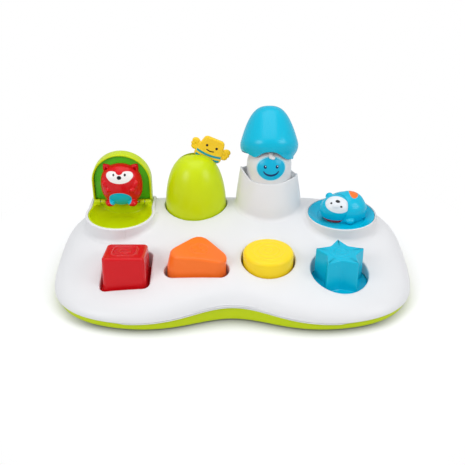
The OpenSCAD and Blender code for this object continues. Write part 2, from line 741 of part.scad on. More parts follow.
module triangle_button() {
    flange = tri_corners(triangle_x, triangle_y - tri_gap - 1.5, triangle_w + 2 * tri_gap + 4, tri_r,
                         tri_d + 2.6 * tri_gap + 4);
    plan = tri_corners(triangle_x, triangle_y, triangle_w, tri_r, tri_d);
    color(orange) difference() {
        union() {
            translate([0, 0, flange_low - flange_t]) linear_extrude(flange_t) polygon(rounded(flange, tri_r));
            difference() {
                translate([0, 0, flange_low - 1]) linear_extrude(60) polygon(rounded(plan, tri_r));
                translate([0, 0, flange_low - 9]) linear_extrude(39) polygon(rounded(plan, tri_r - 2.5));
                translate([triangle_x, 0, triangle_top]) rotate([0, triangle_tilt, 0])
                    block(-60, 60, -90, 20, 0, 60);
            }
            for (p = tri_posts) sleeve(p, 0);
        }
        for (p = tri_posts) sleeve(p, 1);
        lever_notch(tri_lever_x, tri_nose_y);
    }
}

tri_rear_z = lever_rear_z(tri_nose_y, tri_pivot_y, pushrod_y);
module triangle_lever() {
    color(lime) {
        lever(tri_lever_x, tri_nose_y, tri_pivot_y, pushrod_y);
        translate([tri_lever_x, pushrod_y, tri_rear_z]) bar_x(-pushrod_out, -lever_w / 2 + 1, 1.6);
    }
}
module triangle_lever_pin() {
    color(steel) translate([tri_lever_x, tri_pivot_y, lever_z]) bar_x(-lug_out, lug_out, pin_r);
}

pushrod_in = 5;                           // faces of the push rod, from the lever's middle
pushrod_out = 11.4;
crank = press * (pushrod_y - tri_pivot_y) / (tri_pivot_y - tri_nose_y) / (2 * sin(bee_lean));
crank_x = dome_x - crank * cos(bee_lean);
crank_z = bee_z + crank * sin(bee_lean);
module bee_pushrod() {
    color("white") difference() {
        union() {
            translate([tri_lever_x, 0, 0]) block(-pushrod_out, -pushrod_in, pushrod_y - 4, pushrod_y + 4,
                                                 tri_rear_z - 5, tri_rear_z + 5);
            translate([tri_lever_x, 0, 0]) block(-pushrod_out, -pushrod_in, pushrod_y - 2, pushrod_y + 2,
                                                 tri_rear_z, crank_z + 4);
            block(crank_x - 5, crank_x + 5, pushrod_y - 2, pushrod_y + 2, crank_z - 4.5, crank_z + 4.5);
        }
        translate([tri_lever_x, pushrod_y, tri_rear_z]) block(-20, 0, -2.6, 2.6, -2, 2);
        translate([crank_x, 0, crank_z]) block(-3.4, 2.4, 0, 90, -2, 2);
    }
}

bracket_w = 8.5;                          // width of the bee's bracket
bracket_t = 4;                            // its thickness
bracket_y = bee_y - 2.5;                  // its rear face
module bee_bracket() {
    color(lime) difference() {
        union() {
            block(dome_x + 0.5, dome_x + bracket_w, bracket_y - bracket_t, bracket_y, floor_z, bee_z);
            block(dome_x - 1, dome_x + bracket_w + 1.5, bracket_y - bracket_t - 3.5, bracket_y + 3.5,
                  floor_z, floor_z + 2);
            translate([dome_x, 0, bee_z]) bar_y(bracket_y - bracket_t, bracket_y, 5);
            block(dome_x - 4, dome_x + bracket_w, bracket_y - bracket_t, bracket_y, bee_z - bracket_w, bee_z);
        }
        translate([dome_x, 0, bee_z]) bar_y(bee_y - 20, bee_y + 20, pin_r + run);
    }
}
module bee_pivot_pin() {
    color(steel) translate([dome_x, 0, bee_z]) {
        bar_y(bracket_y - bracket_t, bee_y + 2.2, pin_r);
        bar_y(bee_y + 1.8, bee_y + 2.8, 2 * pin_r);
        bar_y(bracket_y - bracket_t - 1, bracket_y - bracket_t, 2 * pin_r);
    }
}

// places its children on the bee's leaning axis, with z = 0 at the pivot
module on_bee() { translate([dome_x, bee_y, bee_z]) rotate([0, bee_lean, 0]) children(); }

module bee_arm() {
    color(yellow) {
        on_bee() difference() {
            union() {
                block(-4, 4, -1.5, 1.5, -1, bee_reach - 14);
                bar_y(-1.5, 1.5, 5);
                block(-crank, 0, -1.5, 1.5, -2.2, 2.2);
                translate([-crank, 0, 0]) bar_y(-1.5, 1.5, 3);
                translate([-crank, 0, 0]) bar_y(-1.5, pushrod_y + 2.5 - bee_y, 1.6);
            }
            bar_y(-20, 20, pin_r + run);
        }
    }
}

module bee_body() {
    color(yellow) on_bee() translate([0, bee_t / 2, bee_reach]) rotate([90, 0, 0]) linear_extrude(bee_t) {
        polygon(rounded([[-9, -9], [9, -9], [9.5, 8], [-9.5, 8]], 5));
        for (s = [-1, 1]) {
            translate([s * (bee_w / 2 - 5.5), 4.5]) circle(r = 5.5);
            translate([s * (bee_w / 2 - 8), -2.5]) circle(r = 4.5);
            translate([s * 12, 1]) square([10, 8], center = true);
        }
    }
}

dome_foot = seat_z + 20;                  // height at which the dome begins to round

// a dome whose radius falls off along a superellipse, drawn in by g
function dome_line(g, n = 22) = [for (i = [0 : n])
    let (z = (dome_top - g - dome_foot) * sin(90 * i / n))
    [(dome_r - g) * pow(max(0, 1 - pow(z / (dome_top - g - dome_foot), 1.4)), 1 / 3), dome_foot + z]];

module bush_dome() {
    slot = 6.6;
    color(lime) difference() {
        translate([dome_x, hill_y, 0]) rotate_extrude($fn = 96)
            polygon(concat([[0, seat_z], [dome_r, seat_z]], dome_line(0)));
        translate([dome_x, hill_y, 0]) rotate_extrude($fn = 96)
            polygon(concat([[0, seat_z - 1], [dome_r - 2, seat_z - 1]], dome_line(2)));
        // slot that the bee swings in
        translate([dome_x, bee_y + slot / 2, bee_z]) rotate([90, 0, 0]) linear_extrude(slot)
            polygon([[-6, 8], [6, 8], [42, 30], [42, 60], [-42, 60], [-42, 30]]);
    }
}

// ---- round button, its lever, the snow creature and its cap ----

round_edge = 4;                           // rounding of the round button's top edge
module round_button() {
    color(yellow) difference() {
        union() {
            translate([round_x, round_y, 0])
                rod(round_r + round_gap + 1.5, flange_low - flange_t, flange_low);
            difference() {
                translate([round_x, round_y, 0]) rotate_extrude($fn = 96)
                    polygon(concat([[0, flange_low - 1], [round_r, flange_low - 1]],
                                   [for (a = [0 : 15 : 90]) [round_r - round_edge * (1 - cos(a)),
                                                             round_top - round_edge * (1 - sin(a))]],
                                   [[0, round_top]]));
                translate([round_x, round_y, 0]) rod(round_r - 2.5, flange_low - 9, round_top - 3);
            }
            for (p = round_posts) sleeve(p, 0);
        }
        for (p = round_posts) sleeve(p, 1);
        lever_notch(round_lever_x, round_nose_y);
        // room for the lugs of the lever's pivot
        block(round_lever_x - lug_out - 1, round_lever_x + lug_out + 1, round_pivot_y - lug_r - 1, 0,
              0, lever_z + lug_r + 1);
    }
}

round_rear_z = lever_rear_z(round_nose_y, round_pivot_y, hill_y);
cheek_x = 6.6;                            // cheeks that hold the lever's pin, from the middle
cheek_t = 3.2;
yoke_w = cheek_x + cheek_t / 2 + 0.2;     // half length of the lever's pin between them
module round_lever() {
    color(lime) {
        lever(round_lever_x, round_nose_y, round_pivot_y, hill_y);
        translate([round_lever_x, hill_y, round_rear_z]) bar_x(-yoke_w, yoke_w, 2);
    }
}
module round_lever_pin() {
    color(steel) translate([round_lever_x, round_pivot_y, lever_z]) bar_x(-lug_out, lug_out, pin_r);
}

column_z = round_rear_z + 8;              // underside of the creature's column
head_z = head_top - head_r;               // where its rounding begins
face_up = 4.5;                            // middle of the face above that
function head_line(g, n = 14) = [for (i = [0 : n])
    [(head_r - g) * cos(90 * i / n), head_z + (head_r - g) * sin(90 * i / n)]];

module head_column() {
    color("white") difference() {
        union() {
            difference() {
                translate([hill_x, hill_y, 0]) rotate_extrude($fn = 96)
                    polygon(concat([[0, column_z], [head_r, column_z]], head_line(0)));
                translate([hill_x, hill_y, 0]) rotate_extrude($fn = 96)
                    polygon(concat([[0, column_z + 2], [head_r - 2.5, column_z + 2]], head_line(2.5)));
            }
            for (s = [-1, 1]) translate([round_lever_x + s * cheek_x, hill_y, 0])
                block(-cheek_t / 2, cheek_t / 2, -6, 6.6, round_rear_z - 4.5, column_z + 1);
        }
        translate([round_lever_x, hill_y, round_rear_z])
            block(-cheek_x - cheek_t, cheek_x + cheek_t, -2.6, 3.6, -2.4, 2.4);
        face_cut(1);
    }
}

// the part of the head's skin that the face covers, t deep
module face_cut(t) {
    intersection() {
        difference() {
            translate([hill_x, hill_y, 0]) rotate_extrude($fn = 96)
                polygon(concat([[0, column_z], [head_r + (t > 0.95 ? 5 : 0), column_z]],
                               t > 0.95 ? [[head_r + 5, head_top + 5], [0, head_top + 5]] : head_line(0)));
            translate([hill_x, hill_y, 0]) rotate_extrude($fn = 96)
                polygon(concat([[0, column_z - 1], [head_r - t, column_z - 1]], head_line(t)));
        }
        translate([hill_x, 0, head_z + face_up]) bar_y(0, hill_y, face_r + (t > 0.95 ? 0.1 : 0));
    }
}
module face_disc() { color(sky) face_cut(0.9); }

module hair_tuft() {
    color("white") translate([hill_x, hill_y, head_top - 0.1]) rotate_extrude()
        polygon([[0, 0.1], [4, 0.1], [3.4, 1.6], [1.6, 3.2], [0, 3.8]]);
}

hinge_y = hill_y + rim_r + 2.6;           // the cap's hinge
hinge_z = rim_z + gap;
knuckle_r = 2.6;
knuckle_w = 4.6;                          // half width of the cap's knuckle
knuckle_in = 5.4;                         // faces of the mountain's knuckles, from the middle
knuckle_out = 8.4;
module cap_axis() { translate([hill_x, hinge_y, hinge_z]) children(); }

hill_foot = seat_z + 24;                  // height at which the mountain begins to taper
function hill_line(r, g, top) = [[r - g, seat_z], [r - g, hill_foot],
    for (t = [0 : 0.125 : 1])
        [r - g - (r - rim_r) * (1 - pow(1 - t, 1.6)), hill_foot + (top - hill_foot) * t]];

module mountain_shell() {
    color("white") difference() {
        union() {
            translate([hill_x, hill_y, 0]) rotate_extrude($fn = 96)
                polygon(concat([[0, seat_z]], hill_line(hill_r, 0, rim_z), [[0, rim_z]]));
            cap_axis() {
                for (s = [-1, 1]) {
                    span_x(s, knuckle_in, knuckle_out) bar_x(0, knuckle_out - knuckle_in, knuckle_r);
                    span_x(s, knuckle_in, knuckle_out)
                        block(0, knuckle_out - knuckle_in, -6, knuckle_r, -9, -0.5);
                }
            }
        }
        translate([hill_x, hill_y, 0]) rotate_extrude($fn = 96)
            polygon(concat([[0, seat_z - 1]], hill_line(hill_r, 2.2, rim_z - 2), [[0, rim_z - 2]]));
        translate([hill_x, hill_y, 0]) rod(head_r + 0.5, 90, rim_z + 9);
        cap_axis() bar_x(-20, 20, pin_r + run);
        cap_axis() bar_x(-5, 5, 4);
    }
}
module cap_hinge_pin() { color(steel) cap_axis() bar_x(-knuckle_out, knuckle_out, pin_r); }

function cap_line(g, n = 18) = [for (i = [0 : n])
    let (z = (cap_h - g) * sin(90 * i / n), wide = 14)
    [z < wide ? cap_max - g - (cap_max - cap_r) * pow((wide - z) / wide, 2)
              : (cap_max - g) * sqrt(max(0, 1 - pow((z - wide) / (cap_h - g - wide), 2.2))), z]];

module cap_form(g) {
    translate([0, hill_y - hinge_y, 0]) rotate_extrude($fn = 96) polygon(concat([[0, 0]], cap_line(g)));
}
module snow_cap() {
    color(sky) cap_axis() rotate([-cap_open, 0, 0]) difference() {
        union() {
            difference() {
                cap_form(0);
                translate([0, 0, -eps]) cap_form(cap_t);
            }
            bar_x(-knuckle_w, knuckle_w, knuckle_r);
            block(-knuckle_w, knuckle_w, -4, 0, 0, 3);
        }
        bar_x(-20, 20, pin_r + run);
    }
}

// ---- star button, rack, pinion and spinner ----

wedge_h = 10.5;                           // depth of the star's wedge
wedge_y = star_y + 16;                    // tip of the wedge's sloped face
module star_button() {
    color(sky) difference() {
        union() {
            translate([star_x, star_y, 0]) rod(star_hole - 1.2, spring_z, flange_up);
            translate([star_x, star_y, 0]) rod(star_hole + 1.5, spring_z, spring_z + 1);
            difference() {
                translate([star_x, star_y, spring_z]) linear_extrude(star_top - spring_z)
                    polygon(star_plan(0));
                translate([star_x, star_y, spring_z - 1]) linear_extrude(star_top - spring_z - 1.5)
                    polygon(star_plan(2.4));
            }
            translate([star_x, star_y, 0]) rod(post_r + 2.3, spring_z, 52);
            translate([rack_mid + 3, 0, 0]) rotate([90, 0, -90]) linear_extrude(6)
                polygon([[-wedge_y - wedge_h, spring_z + 1], [-wedge_y - wedge_h, spring_z],
                         [-wedge_y, spring_z - wedge_h], [-wedge_y + 1.5, spring_z - wedge_h],
                         [-wedge_y + 1.5, spring_z + 1]]);
        }
        translate([star_x, star_y, 0]) rod(post_r + post_gap, 0, 50);
    }
}
function star_plan(g) = [for (i = [0 : 9])
    let (r = i % 2 == 0 ? star_r - 1.7 * g : star_in - 1.2 * g, a = 90 + 36 * i) r * [cos(a), sin(a)]];

rack_z = floor_z + gap;
rack_top = spring_z - press - 0.5;
pitch = 2 * PI * gear_r / gear_n;

// place of the rack's sloped end at height z, parallel to the wedge
function rack_front(z) = wedge_y + z - (spring_z - wedge_h) + 0.45;
module rack_slider() {
    rear = pod_y + 16;
    color("white") {
        translate([rack_mid + rack_w / 2, 0, 0]) rotate([90, 0, -90]) linear_extrude(rack_w)
            polygon([[-rear, rack_z], [-rack_front(rack_z), rack_z],
                     [-rack_front(rack_top), rack_top], [-rear, rack_top]]);
        for (i = [-7 : 4]) translate([0, pod_y + (i + 0.5) * pitch, gear_z + 0.3]) rack_tooth();
    }
}
module rack_tooth() {
    linear_extrude(gear_h - 0.6) polygon([[rack_mid + rack_w / 2 - 0.1, -0.95], [rack_x + 0.75, -0.3],
                                        [rack_x + 0.75, 0.3], [rack_mid + rack_w / 2 - 0.1, 0.95]]);
}

module drive_pinion() {
    color(orange) translate([pod_x, pod_y, gear_z]) difference() {
        union() {
            cylinder(h = gear_h, r = gear_r - 1.25);
            for (i = [0 : gear_n - 1]) rotate([0, 0, 180 + 360 * i / gear_n]) linear_extrude(gear_h)
                polygon([[gear_r - 1.6, -0.9], [gear_r + 0.8, -0.3],
                         [gear_r + 0.8, 0.3], [gear_r - 1.6, 0.9]]);
            cylinder(h = gear_h + 3, r = gear_r - 1.6);
        }
        translate([0, 0, -1]) cylinder(h = gear_h + 9, r = shaft_r + run);
    }
}

dish_z = pod_z - dish_d;                  // underside of the dish
module spindle() {
    color(steel) translate([pod_x, pod_y, 0]) difference() {
        union() {
            rod(shaft_r, floor_z + 0.4, dish_z);
            rod(gear_r, gear_z + gear_h + 3 + gap, gear_z + gear_h + 6);
        }
        rod(1.6, dish_z - 12, dish_z + 1);
    }
}
module spindle_bush() {
    color("white") translate([pod_x, pod_y, 0]) difference() {
        union() {
            rod(bush_r, dish_floor - 8, dish_floor);
            rod(bush_r + 3, dish_floor, dish_floor + 1.5);
        }
        rod(shaft_r + run, 0, 90);
    }
}
module spindle_screw() {
    color(steel) translate([pod_x, pod_y, 0]) {
        rod(1.5, dish_z - 10, dish_z + 2.4);
        rod(3, dish_z + 2, dish_z + 3.6);
    }
}
module spinner_dish() {
    color(sky) translate([pod_x, pod_y, 0]) difference() {
        rotate_extrude($fn = 96) polygon([[0, dish_z], [dish_r - 9, dish_z], [dish_r - 3, dish_z + 2.5],
            [dish_r, pod_z - 1.5], [dish_r, pod_z], [dish_r - 1.5, pod_z], [dish_r - 4, dish_z + 4.4],
            [dish_r - 9.5, dish_z + 2], [0, dish_z + 2]]);
        rod(1.7, 0, 90);
    }
}

// the cub lies on the dish with its head to the front
cub_turn = 60;
cub_r = 16;
cub_floor = dish_z + 2;
cub_head_r = 15;
cub_head_at = [-13, -2, 10];              // middle of the cub's head, from the middle of its body
cub_neck = 0.3;                           // space between head and body
module cub_space() {
    // room under the cub for the screw's head
    translate([pod_x, pod_y, 0]) rod(4, 0, dish_z + 5);
}
module on_cub() { translate([pod_x + 1, pod_y - 2, cub_floor]) rotate([0, 0, cub_turn]) children(); }
module cub_body() {
    color(sky) difference() {
        on_cub() translate([0, 0, 9]) {
            sphere(r = cub_r);
            translate([cub_l / 2 - cub_r, 0, 0]) sphere(r = cub_r);
            bar_x(0, cub_l / 2 - cub_r, cub_r);
        }
        on_cub() block(-60, 60, -60, 60, -40, 0);
        on_cub() translate(cub_head_at) sphere(r = cub_head_r + cub_neck);
        cub_space();
    }
}
module cub_head() {
    color(sky) difference() {
        on_cub() translate(cub_head_at) sphere(r = cub_head_r);
        on_cub() block(-60, 60, -60, 60, -40, 0);
        cub_space();
    }
}

bottom_shell();
top_cover();
rubber_feet();
case_screws();
fox_tray();
bush_dome();
mountain_shell();
spindle_bush();
bee_bracket();
latch_pin();
triangle_lever_pin();
round_lever_pin();
bee_pivot_pin();
lid_hinge_pin();
cap_hinge_pin();
lid_spring();
square_spring();
star_spring();
square_button();
lid_latch();
lid_shell();
lid_liner();
fox_body();
triangle_button();
triangle_lever();
bee_pushrod();
bee_body();
bee_arm();
round_button();
round_lever();
head_column();
face_disc();
hair_tuft();
snow_cap();
star_button();
rack_slider();
drive_pinion();
spindle();
spinner_dish();
cub_body();
cub_head();
spindle_screw();
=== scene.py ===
import json
import math
import bpy
import bmesh
import numpy as np
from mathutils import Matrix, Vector
from mathutils.geometry import delaunay_2d_cdt


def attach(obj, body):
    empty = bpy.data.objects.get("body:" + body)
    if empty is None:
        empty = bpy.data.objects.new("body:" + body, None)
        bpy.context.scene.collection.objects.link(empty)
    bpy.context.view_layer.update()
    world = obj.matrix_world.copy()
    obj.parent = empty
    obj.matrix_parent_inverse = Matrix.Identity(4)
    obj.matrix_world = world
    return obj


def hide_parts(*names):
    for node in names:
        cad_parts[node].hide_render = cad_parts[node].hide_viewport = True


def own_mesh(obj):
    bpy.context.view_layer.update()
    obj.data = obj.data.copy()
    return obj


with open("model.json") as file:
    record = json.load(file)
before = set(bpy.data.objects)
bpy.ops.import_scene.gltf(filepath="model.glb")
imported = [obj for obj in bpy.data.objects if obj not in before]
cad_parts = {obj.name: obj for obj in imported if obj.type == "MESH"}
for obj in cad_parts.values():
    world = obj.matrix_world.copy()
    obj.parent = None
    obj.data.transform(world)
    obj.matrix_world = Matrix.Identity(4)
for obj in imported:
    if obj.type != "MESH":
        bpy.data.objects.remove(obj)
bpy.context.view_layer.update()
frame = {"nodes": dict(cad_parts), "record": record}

scene = bpy.context.scene
mm = 0.001    # sizes below are in millimetres

# places and heights that several pieces share
case = dict(width=390, depth=212, frontGrow=1.04, partZ=11, wellZ=25.8, crestZ=62, crestY=60, slopeY=22, slope=0.215,
            sideFall=0.00028, waistDepth=21.5, waistReach=55, seamRise=8.5, seamReach=66)
pod = dict(x=123.4, y=30.7, radius=39.4, top=62)
leftX = -127.5    # middle of the left pod, its tray and its lid
leftMid = np.array([leftX, pod["y"]])
domeAt, hillAt = (-42.5, 57.7), (41.5, 57.7)
squareAt, triangleAt, roundAt, starAt = (-111.4, -52.0), (-37.6, -40.5), (38.0, -38.0), (112.6, -52.0)
latchAxis, lidAxis, capAxis = (-4.2, 31), (55.5, 63), (89.8, 105.3)    # y and z of the axes along X
screwsAt = ((-172, -22), (172, -22), (-76, 92), (76, 92), (0, -14), (-1, 88))


def newObject(name, mesh):
    obj = bpy.data.objects.new(name, mesh)
    scene.collection.objects.link(obj)
    return obj


def shade(obj, smooth=38):
    obj.data.polygons.foreach_set("use_smooth", [True] * len(obj.data.polygons))
    obj.data.set_sharp_from_angle(angle=math.radians(smooth))
    obj.data.update()
    return obj


def addMesh(name, points, faces, smooth=38):
    mesh = bpy.data.meshes.new(name)
    mesh.from_pydata([tuple(p) for p in np.asarray(points, float) * mm], [], faces)
    mesh.validate()
    return shade(newObject(name, mesh), smooth)


def outward(obj, near=1e-6, sheet=False):
    # turns the faces of a closed mesh outwards, or those of an open sheet upwards
    b = bmesh.new()
    b.from_mesh(obj.data)
    bmesh.ops.remove_doubles(b, verts=b.verts, dist=near)
    bmesh.ops.delete(b, geom=[v for v in b.verts if not v.link_faces], context="VERTS")
    bmesh.ops.recalc_face_normals(b, faces=b.faces)
    if sheet and sum(f.normal.z * f.calc_area() for f in b.faces) < 0:
        bmesh.ops.reverse_faces(b, faces=b.faces)
    b.to_mesh(obj.data)
    b.free()
    return obj


def loftFaces(n, rows):
    return [(j * n + i, j * n + (i + 1) % n, (j + 1) * n + (i + 1) % n, (j + 1) * n + i)
            for j in range(rows - 1) for i in range(n)]


def loft(name, loops, smooth=38):
    # quads between loops of the same count, with a fan to a middle point at either end
    n = len(loops[0])
    points = [tuple(p) for loop in loops for p in loop]
    faces = loftFaces(n, len(loops))
    for row in (0, len(loops) - 1):
        points.append(tuple(np.mean(loops[row], axis=0)))
        faces += [(row * n + i, len(points) - 1, row * n + (i + 1) % n) for i in range(n)]
    return shade(outward(addMesh(name, points, faces, smooth)), smooth)


def applyAll(obj):
    # turns an object's modifiers into plain mesh
    bpy.context.view_layer.update()
    done = bpy.data.meshes.new_from_object(obj.evaluated_get(bpy.context.evaluated_depsgraph_get()))
    obj.modifiers.clear()
    obj.data = done
    return obj


def join(name, *objs):
    # one mesh from several, all of them at the origin
    b = bmesh.new()
    for o in objs:
        b.from_mesh(o.data)
    mesh = bpy.data.meshes.new(name)
    b.to_mesh(mesh)
    b.free()
    obj = newObject(name, mesh)
    for o in objs:
        bpy.data.objects.remove(o)
    return obj


def cut(obj, *tools, kind="DIFFERENCE"):
    for tool in tools:
        m = obj.modifiers.new("cut", "BOOLEAN")
        m.operation, m.solver, m.object = kind, "EXACT", tool
        applyAll(obj)
        bpy.data.objects.remove(tool)
    return obj


def knit(obj, voxel, relax):
    # melts overlapping closed forms into one skin with soft joints
    m = obj.modifiers.new("knit", "REMESH")
    m.mode, m.voxel_size = "VOXEL", voxel * mm
    m = obj.modifiers.new("relax", "SMOOTH")
    m.iterations, m.factor = relax, 0.5
    return shade(applyAll(obj), 80)


def arc(first, last, count):
    return np.radians(np.linspace(first, last, count))


def pair(middle, near, far):
    # the spans from near to far on both sides of a middle
    return (middle - far, middle - near), (middle + near, middle + far)


def resample(points, count):
    # the same closed line with evenly spaced points
    p = np.asarray(points, float)
    q = np.vstack([p, p[:1]])
    at = np.concatenate([[0], np.cumsum(np.linalg.norm(np.diff(q, axis=0), axis=1))])
    want = np.linspace(0, at[-1], count, endpoint=False)
    return np.column_stack([np.interp(want, at, q[:, k]) for k in range(p.shape[1])])


def grow(p, d):
    # moves an anticlockwise closed line outwards
    t = np.roll(p, -1, axis=0) - np.roll(p, 1, axis=0)
    n = np.column_stack([t[:, 1], -t[:, 0]])
    return p + n / np.linalg.norm(n, axis=1)[:, None] * d


def soften(p, passes):
    for _ in range(passes):
        p = 0.5 * p + 0.25 * (np.roll(p, 1, axis=0) + np.roll(p, -1, axis=0))
    return p


def around(x, y, r, a):
    return np.column_stack([x + r * np.cos(a), y + r * np.sin(a)])


def circleLine(x, y, r, count):
    return around(x, y, r, np.arange(count) * 2 * math.pi / count)


def roundCorners(centres, r, steps=10):
    out = []
    for i, c in enumerate(centres):
        p, s = centres[i - 1], centres[(i + 1) % len(centres)]
        a = math.atan2(c[1] - p[1], c[0] - p[0]) - math.pi / 2
        b = math.atan2(s[1] - c[1], s[0] - c[0]) - math.pi / 2
        out.append(around(*c, r, a + (b - a) % (2 * math.pi) * np.arange(steps + 1) / steps))
    return np.vstack(out)


def boxLine(x0, x1, y0, y1, r, count):
    return resample(roundCorners([(x0 + r, y0 + r), (x1 - r, y0 + r), (x1 - r, y1 - r), (x0 + r, y1 - r)], r), count)


def squareBox(at, half, r, count):
    return boxLine(at[0] - half, at[0] + half, at[1] - half, at[1] + half, r, count)


def triLine(x, y, w, d, r, count):
    return resample(roundCorners([(x - w / 2 + r, y + r), (x + w / 2 - r, y + r), (x, y + d - r)], r), count)


def lugLine(y, z, r, foot, steps, count):
    # an upright with a half round top
    return resample(np.vstack([[(y - r, foot), (y + r, foot)], around(y, z, r, arc(0, 180, steps))]), count)


def flat(line, z):
    return np.column_stack([line, np.broadcast_to(np.asarray(z, float), (len(line),))])


def spinLoops(profile, x, y, count):
    # rings of a body of revolution round a vertical line, from (radius, height) pairs
    return [flat(circleLine(x, y, r, count), z) for r, z in profile]


def sideY(x, w, d):
    return d * np.maximum(0, 1 - (np.abs(x) / w) ** 4) ** (1 / 3)


def waist(x):
    return case["waistDepth"] * np.exp(-(x / case["waistReach"]) ** 2)


halfW, halfD = case["width"] / 2, case["depth"] / 2
probe = halfW * np.sin(np.radians(np.arange(-60, 61, 2)))
frontD = float(np.min((halfD + waist(probe)) / sideY(probe, halfW, 1))) * case["frontGrow"]


def seamLift(line):
    # the seam between the white and the lime shell rises towards the middle of the front
    return case["seamRise"] * np.exp(-(line[:, 0] / case["seamReach"]) ** 2) * (line[:, 1] < 0)


def outline(g, count):
    # the base's outline drawn in by g, anticlockwise from its left end
    w = halfW - g
    x = w * np.sin(arc(-90, 90, 721))
    front = np.column_stack([x, -sideY(x, w, frontD - g) + waist(x)])
    rear = np.column_stack([x, sideY(x, w, halfD - g)])[::-1]
    return resample(np.vstack([front[:-1], rear[:-1]]), count)


rimLine = outline(0, 2400)
rimAngle = np.arctan2(rimLine[:, 1], rimLine[:, 0])
rimOrder = np.argsort(rimAngle)


def deckZ(line):
    # height of the white deck over each point of a line
    x, y = line[:, 0], line[:, 1]
    px, py = (np.interp(np.arctan2(y, x), rimAngle[rimOrder], rimLine[rimOrder, k], period=2 * math.pi) for k in (0, 1))
    s = np.clip(np.hypot(x, y) / np.maximum(np.hypot(px, py), 1e-6), 0, 1)
    end = np.minimum(1, np.abs(px) / halfW) ** 2
    power = np.where(py > 0, 6, 8) * (1 - end) + 12 * end
    run = case["crestY"] - case["slopeY"]
    ridge = np.where(y > case["slopeY"], case["crestZ"] - case["slope"] / (2 * run) * (y - case["crestY"]) ** 2,
                     case["crestZ"] - case["slope"] * (run / 2 + case["slopeY"] - y))
    crown = ridge - case["sideFall"] * x * x
    return case["partZ"] + (crown - case["partZ"]) * np.sqrt(np.maximum(0, 1 - s ** power))


def inside(points, line):
    # which points lie inside a closed line
    p, q = line[None], np.roll(line, -1, axis=0)[None]
    x, y = points[:, :1], points[:, 1:]
    cross = (p[..., 1] > y) != (q[..., 1] > y)
    with np.errstate(divide="ignore", invalid="ignore"):
        at = p[..., 0] + (y - p[..., 1]) * (q[..., 0] - p[..., 0]) / (q[..., 1] - p[..., 1])
    return (np.sum(cross & (x < at), axis=1) % 2) == 1


leftPod = dict(round=36, side=34.4, back=70, corner=3, wall=3.4)


def podLine(g, count=220):
    # the left pod's outline: half round in front, straight sides behind
    r, side, back = (leftPod[k] + g for k in ("round", "side", "back"))
    a = np.linspace(0, 2 * math.pi, 1440, endpoint=False)
    c, s = np.cos(a), np.sin(a)
    far = np.minimum(side / np.maximum(np.abs(c), 1e-9), (back - pod["y"]) / np.maximum(s, 1e-9))
    far = np.where(np.abs(c) * r > side, np.minimum(r, far + leftPod["corner"]), far)
    return soften(resample(around(*leftMid, np.where(s > 0, far, r), a), count), 6)


def starLine(g):
    a = np.radians(90 + 36 * np.arange(10))
    r = np.where(np.arange(10) % 2 == 0, star["tip"], star["notch"])
    return grow(soften(resample(around(*starAt, r, a), 200), 5), g)


# the openings in the deck, a little wider than what moves or stands in them
holes = dict(square=squareBox(squareAt, 26, 7, 160), triangle=triLine(-37.6, -64.8, 68.6, 56.28, 10, 168),
             round=circleLine(*roundAt, 28.8, 160), star=circleLine(*starAt, 30.5, 200),
             dome=circleLine(*domeAt, 36.1, 220), hill=circleLine(*hillAt, 38.7, 220),
             podL=podLine(leftPod["wall"]), podR=circleLine(pod["x"], pod["y"], pod["radius"], 220))
deck = dict(ringPoints=420, spacing=3.6, inner=0.972, lip=1.5, fillet=5, skin=2.0, socketZ=38, ledge=2.4)
latchRoom = dict(x=-123.4, half=5.5, y=-6.1)


